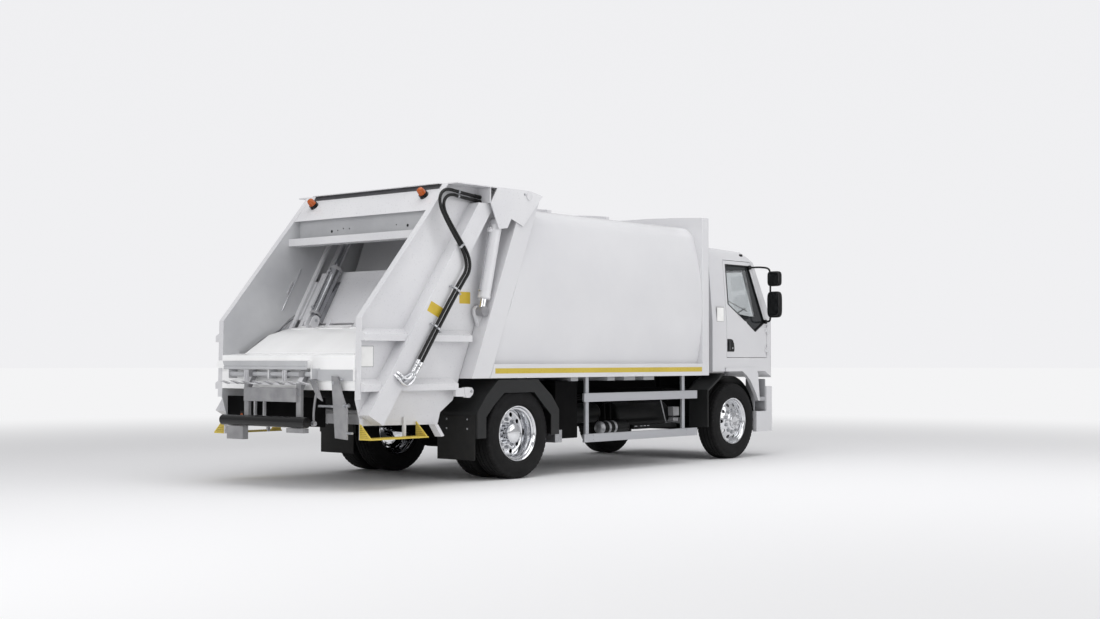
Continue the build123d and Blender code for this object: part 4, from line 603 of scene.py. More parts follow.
class TruckSettings(bpy.types.PropertyGroup):
    """Sizes and tones that a user would change."""

    floor_tone: bpy.props.StringProperty(
        name="Floor tone", description="sRGB hex colour of the floor", default="#F4F4F5")
    backdrop_tone: bpy.props.StringProperty(
        name="Backdrop tone", description="sRGB hex colour of the backdrop", default="#EDEDEF")
    backdrop_light: bpy.props.FloatProperty(
        name="Backdrop light", description="Brightness of the backdrop behind the truck",
        default=1.0, min=0)
    room_light: bpy.props.FloatProperty(
        name="Room light", description="Strength of the even light all round", default=0.55, min=0)
    key_power: bpy.props.FloatProperty(
        name="Key light", description="Power of the overhead soft box", default=560, min=0,
        unit="POWER")
    side_power: bpy.props.FloatProperty(
        name="Side light", description="Power of the side soft box", default=330, min=0,
        unit="POWER")
    rear_power: bpy.props.FloatProperty(
        name="Rear light", description="Power of the soft box behind the hopper", default=300,
        min=0, unit="POWER")
    groove: bpy.props.FloatProperty(
        name="Tread depth", description="Depth of the tyres' grooves", default=0.012, min=0.002,
        max=0.02, unit="LENGTH")
    hose: bpy.props.FloatProperty(
        name="Hose diameter", description="Outside diameter of the tailgate hoses", default=0.034,
        min=0.02, max=0.05, unit="LENGTH")


class TRUCK_OT_stage(bpy.types.Operator):
    """Camera of the photograph, pale floor, backdrop, even light and three soft boxes"""

    bl_idname = "truck.stage"
    bl_label = "Stage"

    def execute(self, context):
        settings = context.scene.truck
        eye = bpy.data.cameras.new("photo_camera")
        eye.lens, eye.sensor_width, eye.clip_end = PHOTO_LENS, PHOTO_SENSOR, 500.0
        holder = bpy.data.objects.new("photo_camera", eye)
        context.scene.collection.objects.link(holder)
        holder.location = PHOTO_EYE
        yaw, pitch = math.radians(PHOTO_YAW), math.radians(PHOTO_PITCH)
        line = Vector((math.cos(yaw) * math.cos(pitch), math.sin(yaw) * math.cos(pitch),
                       math.sin(pitch)))
        holder.rotation_euler = line.to_track_quat("-Z", "Y").to_euler()
        context.scene.camera = holder
        context.scene.view_settings.view_transform = "Standard"

        world = bpy.data.worlds.new("even_light")
        context.scene.world = world
        world.use_nodes = True
        ground = next(n for n in world.node_tree.nodes if n.type == "BACKGROUND")
        ground.inputs["Color"].default_value = colour(settings.backdrop_tone)
        ground.inputs["Strength"].default_value = settings.room_light

        mesh = bpy.data.meshes.new("studio_floor")
        rings = np.array(FLOOR_RINGS)[:, None]
        turn = np.linspace(0, 2 * np.pi, 64, endpoint=False)[None, :]
        points = np.stack([rings * np.cos(turn), rings * np.sin(turn), 0 * rings * turn], axis=-1)
        mesh.from_pydata(points.reshape(-1, 3).tolist(), [],
                         grid_faces(len(FLOOR_RINGS), 64, close_columns=True).tolist())
        mesh.materials.append(floor_finish(settings))
        floor = bpy.data.objects.new("studio_floor", mesh)
        context.scene.collection.objects.link(floor)

        # Backdrop: a wall of even tone far behind the truck that lights nothing
        points = np.stack([np.cos(turn[0]), np.sin(turn[0]), 0 * turn[0]],
                          axis=-1) * BACKDROP_RADIUS
        rows = points[None] + np.array([-1.0, 160.0])[:, None, None] * np.array([0, 0, 1.0])
        mesh = bpy.data.meshes.new("studio_backdrop")
        mesh.from_pydata(rows.reshape(-1, 3).tolist(), [],
                         grid_faces(2, 64, close_columns=True).tolist())
        material, _, shader, _ = new_finish("studio_backdrop")
        shader.inputs["Base Color"].default_value = (0, 0, 0, 1)
        shader.inputs["Emission Color"].default_value = colour(settings.backdrop_tone)
        shader.inputs["Emission Strength"].default_value = settings.backdrop_light
        mesh.materials.append(material)
        wall = bpy.data.objects.new("studio_backdrop", mesh)
        context.scene.collection.objects.link(wall)
        wall.visible_diffuse = wall.visible_glossy = wall.visible_shadow = False

        area_light("key", (-1.0, -2.0, 9.5), (-0.3, 0.0, 0.5), (13.0, 9.0), settings.key_power)
        area_light("side", (2.0, -12.0, 5.5), (0.0, 0.0, 1.6), (12.0, 6.0), settings.side_power)
        area_light("rear", (-12.5, -3.5, 5.0), (-3.0, 0.0, 1.5), (7.0, 5.0), settings.rear_power)
        return {"FINISHED"}


# Which finish, edge radius and smoothing angle each carried-over node gets
COACHWORK = {
    "body_side_left": ("coach_enamel", 0.0, 25), "body_side_right": ("coach_enamel", 0.0, 25),
    "body_roof": ("coach_enamel", 0.003, 25), "body_floor": ("coach_enamel", 0.004, 30),
    "body_front_frame": ("coach_enamel", 0.005, 30), "body_rear_frame": ("coach_enamel", 0.005, 30),
    "tail_side_left": ("tailgate_enamel", 0.004, 30),
    "tail_side_right": ("tailgate_enamel", 0.004, 30),
    "tail_hood": ("tailgate_enamel", 0.003, 30), "cab_shell": ("coach_enamel", 0.005, 30),
    "door_left": ("coach_enamel", 0.004, 30), "door_right": ("coach_enamel", 0.004, 30),
    "bumper": ("coach_enamel", 0.006, 30), "step_boxes": ("step_grey", 0.005, 30),
}
WORKING_STEEL = {
    "hopper": ("hopper_plate", 0.004, 30), "carriage": ("tailgate_enamel", 0.004, 30),
    "blade": ("hopper_plate", 0.004, 30), "tail_beams": ("machine_enamel", 0.004, 30),
    "lifter_frame": ("machine_enamel", 0.003, 30), "lift_barrels": ("tailgate_enamel", 0.003, 30),
    "lift_rods": ("rod_chrome", 0.002, 30), "pack_rods": ("rod_chrome", 0.002, 30),
    "buffer_roller": ("roller_rubber", 0.006, 30),
}
UNDERFRAME = {
    "chassis_frame": ("chassis_black", 0.003, 30), "subframe": ("chassis_black", 0.003, 30),
    "springs": ("chassis_black", 0.002, 30), "front_axle": ("chassis_black", 0.004, 30),
    "rear_axle": ("chassis_black", 0.005, 35), "knuckle_left": ("chassis_black", 0.003, 30),
    "knuckle_right": ("chassis_black", 0.003, 30), "engine": ("chassis_black", 0.010, 30),
    "fuel_tank": ("tank_black", 0.004, 30), "air_tank": ("tank_black", 0.004, 35),
    "silencer": ("tank_black", 0.004, 35), "tool_box": ("chassis_black", 0.008, 30),
    "rear_fender_left": ("fender_plastic", 0.006, 30),
    "rear_fender_right": ("fender_plastic", 0.006, 30),
    "front_guards": ("fender_plastic", 0.006, 30), "mud_flaps": ("flap_rubber", 0.003, 30),
    "side_guard_left": ("guard_aluminium", 0.004, 30),
    "side_guard_right": ("guard_aluminium", 0.004, 30),
    "rear_steps": ("safety_yellow", 0.002, 30), "cab_interior": ("cab_trim", 0.02, 30),
}
# Faces of a node in another finish, between two corners
ZONES = {
    # The web under the hood's beam, in the grey of painted shade
    "tail_hood": (("inner_painted_shade", at(-1.175, -1.1, 2.60), at(-1.145, 1.1, 2.90)),),
    # The tailgate's left inner wall, in the grey of painted shade
    "tail_side_left": (("inner_painted_shade", at(-2.40, 1.030, 0.40), at(0.10, 1.045, 3.20)),),
    # The hopper's underside below 0.96 m in chassis black: painted shade under the hopper
    "hopper": (("chassis_black", at(-2.150, -1.1, 0.40), at(0.00, 1.1, 0.960)),
               # Strips at the hopper's rear edge behind the comb, in the grey of painted shade
               ("inner_painted_shade", at(-2.335, -1.1, 1.10), at(-2.262, 1.1, 1.175)),
               ("inner_painted_shade", at(-2.240, -1.1, 0.90), at(-2.215, 1.1, 1.100)),
               ("machine_enamel", at(-2.310, -1.05, 0.45), at(-2.280, -0.50, 1.130))),
    "lifter_frame": (("tailgate_enamel", at(-2.60, -1.0, 1.020), at(-2.345, 1.0, 1.115)),),
    "lift_rods": (("machine_enamel", at(-0.640, -1.3, 1.70), at(-0.440, 1.3, 1.860)),),
    # Zinc over the hose elbows; the right inner wall in the grey of painted shade
    "tail_side_right": (("zinc_plate", at(-1.95, -1.30, 1.00), at(-1.55, -1.1985, 1.25)),
                        ("inner_painted_shade", at(-2.40, -1.045, 0.40), at(0.10, -1.030, 3.20))),
    "carriage": (
        ("barrel_polish", at(-1.36, 0.54, 1.75), at(-0.70, 0.70, 2.60)),
        ("barrel_polish", at(-1.36, -0.70, 1.75), at(-0.70, -0.54, 2.60)),
    ),
    "rear_steps": (("tailgate_enamel", at(-2.186, -1.095, 0.565), at(-1.50, -1.040, 0.80)),
                   ("tailgate_enamel", at(-2.186, 1.040, 0.565), at(-1.50, 1.095, 0.80))),
}


def dress_all(table):
    """Each node of a table in its finish, as a welded copy with rounded edges."""
    for node, (kind, edge, angle) in table.items():
        dress(node, kind, edge, angle, ZONES.get(node, ()))


class TRUCK_OT_hoses(bpy.types.Operator):
    """Two hydraulic hoses down the tailgate's right side, with their clamps and crimped ends"""

    bl_idname = "truck.hoses"
    bl_label = "Hoses"

    # Distance ahead of the rear axle, Y, height
    routes = {
        "hose_inner": (
            (-0.4967, -1.100, 2.972), (-0.760, -1.112, 2.990), (-1.020, -1.126, 3.022),
            (-1.135, -1.150, 2.880), (-1.030, -1.205, 2.660), (-0.745, -1.245, 2.289),
            (-0.966, -1.240, 2.021), (-1.280, -1.235, 1.586), (-1.590, -1.235, 1.146),
        ),
        "hose_outer": (
            (-0.4967, -1.100, 3.019), (-0.800, -1.112, 3.042), (-1.075, -1.124, 3.075),
            (-1.190, -1.150, 2.930), (-1.105, -1.200, 2.700), (-0.800, -1.245, 2.290),
            (-1.004, -1.240, 2.049), (-1.320, -1.235, 1.614), (-1.630, -1.235, 1.174),
        ),
    }

    def execute(self, context):
        width = context.scene.truck.hose
        lines = []
        for name, route in self.routes.items():
            curve = bpy.data.curves.new(name + "_cover", "CURVE")
            curve.dimensions = "3D"
            spline = curve.splines.new("NURBS")
            spline.points.add(len(route) - 1)
            points = np.hstack([np.array([at(*corner) for corner in route]),
                                np.ones((len(route), 1))])
            spline.points.foreach_set("co", points.ravel())
            spline.order_u = 3
            spline.use_endpoint_u = True
            spline.resolution_u = 16
            hose = bpy.data.objects.new(name + "_cover", curve)
            context.scene.collection.objects.link(hose)
            context.view_layer.update()
            plain = bpy.data.meshes.new_from_object(hose)
            line = np.zeros(len(plain.vertices) * 3)
            plain.vertices.foreach_get("co", line)
            line = line.reshape(-1, 3)
            lines.append(line)
            curve.bevel_depth = width / 2
            curve.bevel_resolution = 5
            curve.use_fill_caps = True
            curve.materials.append(finish_of("hose_rubber"))
            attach(hose, "tail")
            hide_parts(name)
            crimps = Piece(name + "_crimps")
            gone = np.concatenate([[0], np.linalg.norm(np.diff(line, axis=0), axis=1).cumsum()])
            run = gone[-1]
            for start, end, proud, kind in ((0, 0.10, 0.0035, "moulded_black"),
                                            (run - 0.135, run - 0.085, 0.0050, "wheel_chrome"),
                                            (run - 0.080, run - 0.050, 0.0030, "wheel_chrome"),
                                            (run - 0.048, run, 0.0010, "wheel_chrome")):
                along = np.linspace(start, end, 5)
                part = np.stack([np.interp(along, gone, line[:, k]) for k in range(3)], axis=1)
                crimps.add(swept(part, width / 2 + proud, 20), kind)
            collar = crimps.build("tail", 0.001)
        self.clamp(lines, width)
        return {"FINISHED"}

    def clamp(self, lines, width):
        """Silver bands where both hoses are tied; where a clamp is held to the beam, a strap with
        two feet and their bolts.
        """
        clamps = Piece("hose_clamps")
        # Where each band sits, and whether a foot holds it to the beam
        for spot, held in (((-0.847, -1.12, 3.02), False), ((-0.971, -1.23, 2.445), False),
                           ((-1.015, -1.24, 2.018), True), ((-1.249, -1.24, 1.601), True)):
            centres = []
            for line in lines:
                i = int(np.linalg.norm(line - at(*spot), axis=1).argmin())
                centre, run = line[i], line[i + 1] - line[i - 1]
                run = run / np.linalg.norm(run)
                ring = [(width / 2 - 0.001, -0.011), (width / 2 + 0.004, -0.011),
                        (width / 2 + 0.005, 0), (width / 2 + 0.004, 0.011),
                        (width / 2 - 0.001, 0.011)]
                clamps.add(spun(ring, centre, run, 28), "zinc_plate")
                centres.append(centre)
            gap = centres[1] - centres[0]
            reach = gap / np.linalg.norm(gap)
            if held:
                low, high = centres[0] - reach * 0.05, centres[1] + reach * 0.05
                strap = np.array([low, centres[0], centres[1], high])
                strap[:, 1] = centres[0][1] + width / 2 + 0.003
                clamps.add(swept(strap, 0.007, 10), "zinc_plate")
                for end in (strap[0], strap[-1]):
                    clamps.add(swept([end, end + (0, 0.045, 0)], 0.007, 10), "zinc_plate")
                    clamps.bolt(end - (0, 0.004, 0), (0, -1, 0), 0.018, 0.012)
        clamps.build("tail", 0.001)


class TRUCK_OT_coachwork(bpy.types.Operator):
    """Enamelled sheets of the body, tailgate and cab"""

    bl_idname = "truck.coachwork"
    bl_label = "Coachwork"

    def execute(self, context):
        dress_all(COACHWORK)
        return {"FINISHED"}


class TRUCK_OT_working_steel(bpy.types.Operator):
    """Hopper, packing mechanism, cylinders and bin lifter"""

    bl_idname = "truck.working_steel"
    bl_label = "Working steel"

    def execute(self, context):
        dress_all(WORKING_STEEL)
        return {"FINISHED"}


class TRUCK_OT_underframe(bpy.types.Operator):
    """Chassis, axles, tanks, fenders and guards"""

    bl_idname = "truck.underframe"
    bl_label = "Underframe"

    def execute(self, context):
        dress_all(UNDERFRAME)
        return {"FINISHED"}


def label(piece, corner, across, upward, width, height, ground, face=None):
    """A blank plate without any print: its ground and, inside a border, its face."""
    across = np.asarray(across, float) / np.linalg.norm(across)
    upward = np.asarray(upward, float) / np.linalg.norm(upward)
    outward = np.cross(across, upward)
    start = np.asarray(corner, float) - outward * 0.0006
    piece.add(tilted(rounded_outline(width, height, 0.006), start, across, upward, 0.0016), ground)
    if face:
        origin = start + (across + upward) * 0.006 + outward * 0.0016
        inner = rounded_outline(width - 0.012, height - 0.012, 0.003)
        piece.add(tilted(inner, origin, across, upward, 0.0005), face)


def rim_of_light(piece, centre, axis, radius, kind):
    """A round lamp: black bezel, then a lens that bulges by r^2 / 6."""
    bezel = [(radius * 0.86, 0.004), (radius * 0.90, 0.010), (radius, 0.010), (radius * 1.04, 0.0)]
    piece.add(spun([*bezel, (radius * 0.86, 0.0)], centre, axis, 40), "moulded_black")
    share = np.linspace(0.86, 0, 10)
    lens = np.stack([share * radius, 0.004 + 0.012 * (1 - share**2)], axis=1)
    piece.add(spun([(radius * 0.86, 0.001), *lens], centre, axis, 40), kind)


class TRUCK_OT_beacons(bpy.types.Operator):
    """Ribbed amber beacons on the hood and the lamps on the rear beam"""

    bl_idname = "truck.beacons"
    bl_label = "Beacons and rear lamps"

    def execute(self, context):
        normal = np.array([-0.768, 0, 0.640])
        piece = Piece("beacons_ribbed")
        for side in (1, -1):
            foot = np.array(at(-1.105, side * 0.865, 3.004))
            base = [(0.0, 0.0), (0.052, 0.0), (0.052, 0.008), (0.046, 0.012), (0.045, 0.026),
                    (0.050, 0.030), (0.050, 0.036), (0.042, 0.037), (0.0, 0.037)]
            piece.add(spun(base, foot, normal, 40), "moulded_black")
            rise = np.linspace(0, 1, 29)
            rib = 0.0014 * np.cos(rise * 14 * np.pi)
            dome = np.stack([(0.041 - 0.007 * rise + rib) * np.sqrt(np.clip(1 - rise**9, 0, 1)),
                             0.037 + 0.071 * rise], axis=1)
            piece.add(spun([(0.0, 0.0372), *dome], foot, normal, 40), "amber_lens")
            core = [(0.0, 0.038), (0.018, 0.038), (0.016, 0.085), (0.0, 0.090)]
            piece.add(spun(core, foot, normal, 24), "rod_chrome")
            for turn in np.arange(4) * np.pi / 2 + 0.6:
                axis, across, up = square_frame(normal)
                out = across * math.cos(turn) + up * math.sin(turn)
                bolt_at = foot + out * 0.0475 + axis * 0.008
                piece.bolt(bolt_at, axis, 0.007, 0.004)
        piece.build(NODES["beacons"]["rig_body"], 0.0006, 40, ("beacons",))
        lamps = Piece("rear_lamps_lensed")
        low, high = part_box("rear_lamps")
        for side in (1, -1):
            near_y, far_y = span(side, 0.690, 0.815)
            lamps.add(box_form((low.x + 0.010, near_y, low.z), (high.x, far_y, high.z)),
                      "moulded_black")
            for place_y, kind in ((0.722, "red_lens"), (0.783, "amber_lens")):
                rim_of_light(lamps, (low.x + 0.0105, side * place_y, (low.z + high.z) / 2),
                             (-1, 0, 0), 0.027, kind)
        lamps.build(NODES["rear_lamps"]["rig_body"], 0.002, 40, ("rear_lamps",))
        return {"FINISHED"}


def pack_axis(side):
    """Foot of a packing cylinder's line, its direction along the 60 degree guide, and backwards."""
    up = np.array([math.cos(math.radians(60)), 0, math.sin(math.radians(60))])
    back = np.array([-up[2], 0, up[0]])
    return np.array(at(-1.240, 0, 1.600)) + back * 0.140 + (0, side * 0.620, 0), up, back


class TRUCK_OT_tail_fittings(bpy.types.Operator):
    """Blank labels, hinge bolts, catches, hose elbows, cylinder fittings and pipes"""

    bl_idname = "truck.tail_fittings"
    bl_label = "Tailgate fittings"

    def execute(self, context):
        labels = Piece("tail_labels")
        label(labels, at(-1.395, -1.198, 1.787), (0.174, 0, -0.073), (0.064, 0, 0.103), 0.185,
              0.118, "label_yellow")
        label(labels, at(-0.765, -1.050, 1.880), (1, 0, 0), (0, 0, 1), 0.165, 0.125, "label_yellow")
        label(labels, at(-2.185, -1.050, 1.215), (1, 0, 0), (0, 0, 1), 0.190, 0.210,
              "machine_enamel", "label_white")
        labels.build("tail")

        fittings = Piece("tail_fittings")
        for side in (1, -1):
            # Bolt of the hinge pin
            fittings.bolt(at(0.050, side * 1.2545, 3.086), (0, side, 0), 0.018, 0.012)
            # Catch at the tailgate's lower front corner
            catch = [(-0.80, 0.930), (-0.77, 0.890), (-0.72, 0.890), (-0.675, 0.925),
                     (-0.665, 0.965), (-0.690, 0.995), (-0.740, 1.000), (-0.80, 1.000)]
            fittings.add(slab(catch, side, 1.120, 1.165), "tailgate_enamel")
            fittings.bolt(at(-0.700, side * 1.165, 0.955), (0, side, 0), 0.022, 0.014)
            # Steel bracket under the toe
            leg = [(-1.245, 0.625), (-1.195, 0.625), (-1.105, 0.505), (-1.150, 0.498)]
            fittings.add(slab(leg, side, 1.075, 1.165), "tailgate_enamel")
        # Bolt holes of the beam above the hopper: each a rim, and a black disc of painted shade for
        # the hole's dark inside
        for y, z, radius in ((0.507, 2.700, 0.016), (0.410, 2.705, 0.007), (0.319, 2.722, 0.008),
                             (0.223, 2.716, 0.008), (-0.510, 2.716, 0.007), (-0.680, 2.700, 0.016)):
            point, normal = touch("tail_hood", at(-2.0, y, z), (1, 0, 0))
            hole = [(radius * 0.8, -0.003), (radius, 0.0008), (radius * 1.15, 0.0008),
                    (radius * 1.2, -0.001)]
            fittings.add(spun(hole, point, normal, 24), "machine_enamel")
            fittings.add(round_bar(radius * 0.95, -0.0004, 0.0004, point, normal, 24),
                         "black_print_and_hole_shade")
        # Folded lip of the roof plate over the slanted panel, with a dark grey strip under it that
        # is painted shade of the overhang
        lip = [(-0.985, 3.1245), (-0.985, 3.1315), (-1.050, 3.1330), (-1.056, 3.1260),
               (-1.050, 3.1210)]
        fittings.add(slab(lip, 1, -1.030, 0.955), "tailgate_enamel")
        seal_and_shade_strip = [(-1.003, 3.1240), (-1.012, 3.1230), (-1.052, 3.0720), (-1.046, 3.0680)]
        fittings.add(slab(seal_and_shade_strip, 1, -1.028, 0.945), "lip_painted_shade")
        # Web that joins the catch to the tailgate's side
        for side in (1, -1):
            web = [(-0.930, 0.905), (-0.760, 0.900), (-0.760, 0.992), (-0.930, 0.992)]
            fittings.add(slab(web, side, 1.125, 1.160), "tailgate_enamel")
        # Chromed elbows that lead both hoses back up into the beam
        for hook in (
            ((-1.590, -1.235, 1.146), (-1.632, -1.240, 1.078), (-1.700, -1.243, 1.035),
             (-1.772, -1.243, 1.052), (-1.822, -1.236, 1.100), (-1.850, -1.195, 1.140)),
            ((-1.630, -1.235, 1.174), (-1.662, -1.240, 1.122), (-1.708, -1.243, 1.098),
             (-1.756, -1.240, 1.108), (-1.790, -1.230, 1.136), (-1.812, -1.195, 1.165)),
        ):
            bend = smooth_path([at(*corner) for corner in hook])
            fittings.add(swept(bend, 0.0145, 18, (0, 1, 0.2)), "wheel_chrome")
            fittings.add(swept(bend[:4], 0.0205, 6, (0, 1, 0.2)), "wheel_chrome")
        fittings.build("tail", 0.002)
        self.packing_gear()
        self.lift_gear()
        self.wall_strips()
        return {"FINISHED"}

    def packing_gear(self):
        """Caps, clevises, pipes and boots of the packing cylinders, and the plate above them."""
        gear = Piece("packing_gear")
        for side in (1, -1):
            line, up, back = pack_axis(side)
            for along, wide, deep in ((0.124, 0.069, 0.022), (0.700, 0.0705, 0.040)):
                cap = [(0.0652, 0), (wide, 0.002), (wide, deep - 0.002), (0.0652, deep)]
                gear.add(spun(cap, line + up * along, up, 40), "machine_enamel")
            gland = [(0.0365, 0.722), (0.052, 0.722), (0.052, 0.734), (0.046, 0.738),
                     (0.0365, 0.738)]
            gear.add(spun(gland, line, up, 40), "zinc_plate")
            # Rounded clevis ears with their pin
            for shift in (-0.040, 0.040):
                t = np.linspace(0, np.pi, 13)
                round_end = np.stack([0.055 * np.cos(t), 0.055 * np.sin(t)], axis=1)
                ear = np.vstack([round_end, [(-0.055, -0.09), (0.055, -0.09)]])
                origin = line + up * 0.055 + (0, shift, 0)
                gear.add(tilted(ear, origin, -back, up, 0.012), "tailgate_enamel")
            pin = line + up * 0.055
            gear.add(round_bar(0.018, -0.058, 0.058, pin, (0, 1, 0), 24), "zinc_plate")
            # Feed pipe along the cylinder and its two port blocks
            for along in (0.18, 0.66):
                block = line + up * along + back * 0.068
                gear.add(round_bar(0.017, 0, 0.022, block, back, 20), "zinc_plate")
            ends = [line + up * 0.18 + back * 0.084, line + up * 0.66 + back * 0.084]
            gear.add(swept(ends, 0.008, 10), "rod_chrome")
        gear.build("carriage", 0.002)
        boots = Piece("packing_boots")
        for side in (1, -1):
            line, up, back = pack_axis(side)
            folds = np.linspace(0, 1, 25)
            r = 0.056 + 0.004 * np.cos(folds * 10 * np.pi) + 0.010 * folds
            bellows = np.stack([r, 1.246 + 0.100 * folds], axis=1)
            boots.add(spun([(0.0365, 1.246), *bellows, (0.0365, 1.346)], line, up, 32),
                      "hose_rubber")
        boots.build("tail", 0.0)
        # Plate that closes the tailgate's mouth above the carriage, with its rolled foot
        shield = Piece("mouth_plate")
        foot = np.linspace(0, np.pi / 2, 7)
        roll = np.stack([0.060 * np.sin(foot) - 0.45, 2.200 + 0.060 * (1 - np.cos(foot))], axis=1)
        rise = np.array([(-0.360, 2.330), (-0.130, 2.900)])
        line = np.vstack([roll, rise])
        sheet = np.vstack([line, line[::-1] + (-0.006, 0.002)])
        shield.add(slab(sheet, 1, -0.985, 0.985), "coach_enamel")
        shield.build("tail", 0.0)

    def lift_gear(self):
        """End collars, port blocks and feed pipes of the lift cylinders."""
        gear = Piece("lift_gear")
        for side in (1, -1):
            top = np.array(at(-0.310, side * 1.165, 2.760))
            foot = np.array(at(-0.545, side * 1.165, 1.800))
            down = (foot - top) / np.linalg.norm(foot - top)
            rear = np.cross((0, 1, 0), down)
            rear = rear * (-1 if rear[0] > 0 else 1)
            for along, wide, deep in ((0.075, 0.0675, 0.030), (0.815, 0.0690, 0.030)):
                cap = [(0.0650, 0), (wide, 0.003), (wide, deep - 0.003), (0.0650, deep)]
                gear.add(spun(cap, top + down * along, down, 40), "tailgate_enamel")
            block = top + down * 0.105 + rear * 0.074
            gear.add(spun([(0, -0.030), (0.026, -0.030), (0.030, -0.024), (0.030, 0.024),
                           (0.026, 0.030), (0, 0.030)], block, rear, 6), "tailgate_enamel")
            low = top + down * 0.770 + rear * 0.072
            gear.add(round_bar(0.017, -0.016, 0.016, low, (0, 1, 0), 20), "zinc_plate")
            pipe = smooth_path([block + down * 0.026, block + down * 0.10, low - down * 0.10,
                                low - down * 0.012])
            gear.add(swept(pipe, 0.007, 10), "rod_chrome")
        gear.build("lift_barrels", 0.002)

    def wall_strips(self):
        """Curved wear strips and thin pipes on the insides of the tailgate's walls."""
        wall = Piece("wall_strips")
        for side in (1, -1):
            strip = smooth_path([
                at(-1.031, side * 1.034, 1.811), at(-1.278, side * 1.034, 1.731),
                at(-1.516, side * 1.034, 1.560), at(-1.720, side * 1.034, 1.470),
                at(-1.934, side * 1.034, 1.336),
            ])
            wall.add(swept(strip, 0.007, 8), "rod_chrome")
            wall.add(swept(strip + (0.030, 0, 0.045), 0.006, 8), "machine_enamel")
            for start, end in (((-1.16, 2.30), (-1.43, 1.83)), ((-1.28, 2.16), (-1.36, 2.02))):
                ends = [at(start[0], side * 1.032, start[1]), at(end[0], side * 1.032, end[1])]
                wall.add(swept(ends, 0.008, 8), "rod_chrome")
        wall.build("tail", 0.0)


# Wheels

TYRE_R = 0.490
BLOCKS = 56
STEPS_A_BLOCK = 5
HAND_HOLES = WHEEL_NUTS = 10
FRONT_TRACK_HALF = 0.9955
# Middle of each rear tyre, and whether its rim's dish faces out or in
TWIN_TYRES = ((1.0845, 1), (0.7595, -1))


def tread_section(depth):
    """Half section of the tread from its middle out: width, radius and how far a notch cuts."""
    return np.array([
        (0.000, TYRE_R, 0.0), (0.020, TYRE_R, 0.0), (0.021, TYRE_R, 0.0),
        (0.024, TYRE_R - depth, 0.0), (0.030, TYRE_R - depth, 0.0), (0.033, TYRE_R, 0.0),
        (0.034, TYRE_R, 0.35), (0.052, TYRE_R - 0.001, 0.15), (0.069, TYRE_R - 0.001, 0.35),
        (0.070, TYRE_R - 0.001, 0.0), (0.073, TYRE_R - depth, 0.0), (0.079, TYRE_R - depth, 0.0),
        (0.082, TYRE_R - 0.002, 0.0), (0.083, TYRE_R - 0.002, 0.3), (0.108, TYRE_R - 0.004, 1.0),
        (0.117, TYRE_R - 0.010, 1.0), (0.122, TYRE_R - 0.020, 0.7), (0.125, TYRE_R - 0.034, 0.0),
    ])


def wall_section():
    """Half section of the side wall from the shoulder in to the bead."""
    return np.array([
        (0.1270, 0.446, 0), (0.1278, 0.444, 0), (0.1278, 0.440, 0), (0.1300, 0.437, 0),
        (0.1345, 0.415, 0), (0.1370, 0.392, 0), (0.1375, 0.380, 0), (0.1368, 0.362, 0),
        (0.1345, 0.345, 0), (0.1315, 0.334, 0), (0.1325, 0.331, 0), (0.1325, 0.326, 0),
        (0.1290, 0.322, 0), (0.1210, 0.312, 0), (0.1130, 0.304, 0), (0.1050, 0.297, 0),
        (0.1000, 0.291, 0), (0.0900, 0.288, 0),
    ])


def tyre_form(axle_x, middle_y, depth):
    """A closed ring: radius r(width) less a notch that repeats once a block round the tyre."""
    half = np.vstack([tread_section(depth), wall_section()])
    section = np.vstack([half[::-1] * (-1, 1, 1), half[1:]])
    count = BLOCKS * STEPS_A_BLOCK
    k = np.arange(count)
    t = (2 * np.pi * k / count)[:, None]
    notch = ((k % STEPS_A_BLOCK) == 0)[:, None] * section[None, :, 2] * depth * 0.8
    shift = np.where(section[:, 0] > 0, 0.0, np.pi / BLOCKS)[None, :]
    r = section[None, :, 1] - notch
    points = np.stack([
        axle_x + r * np.cos(t + shift), middle_y + section[None, :, 0] + 0 * r,
        AXLE_Z + r * np.sin(t + shift),
    ], axis=-1)
    return points.reshape(-1, 3), grid_faces(count, len(section), True, True)


def holed_disc(axle_x, profile, count, circle, hole, thick, side):
    """A dished disc with round holes.

    Each sector runs from its hole's edge out to the sector's border, in radius and angle, with
    the axial place read from the profile; each hole gets a wall that goes back by the thickness.
    """
    radii, places = np.asarray(profile, float).T
    inner, outer = radii.min(), radii.max()
    edge = np.linspace(-1, 1, 9)[:-1]
    border = np.vstack([
        np.stack([edge, -np.ones(8)], 1), np.stack([np.ones(8), edge], 1),
        np.stack([-edge, np.ones(8)], 1), np.stack([-np.ones(8), -edge], 1),
    ])
    wedge = np.pi / count
    border_r = np.where(border[:, 1] > 0, circle + (outer - circle) * border[:, 1],
                        circle + (circle - inner) * border[:, 1])
    border_t = border[:, 0] * wedge
    angle = np.arctan2(border_r - circle, border_t * circle)
    hole_r = circle + hole * np.sin(angle)
    hole_t = hole * np.cos(angle) / circle
    s = np.linspace(0, 1, 6)[:, None]
    r = hole_r + (border_r - hole_r) * s
    t = hole_t + (border_t - hole_t) * s
    a = np.interp(r, radii, places)
    r = np.vstack([hole_r[None], r])
    t = np.vstack([hole_t[None], t])
    a = np.vstack([(a[0] - thick)[None], a])
    turn = (2 * np.pi * np.arange(count) / count)[:, None, None] + t[None]
    points = np.stack([
        axle_x + r[None] * np.cos(turn), side * a[None] + 0 * turn, AXLE_Z + r[None] * np.sin(turn),
    ], axis=-1)
    faces = grid_faces(7, 32, close_columns=True)
    return points.reshape(-1, 3), np.vstack([faces + k * 7 * 32 for k in range(count)])


def turned(piece, profile, axle_x, side, far, turns, way=1):
    """A bright ring round an axle: profile of radius and distance past the tyre's middle."""
    points = [(r, side * (far + way * out)) for r, out in profile]
    piece.add(spun(points, (axle_x, 0, AXLE_Z), turns=turns), "wheel_chrome")


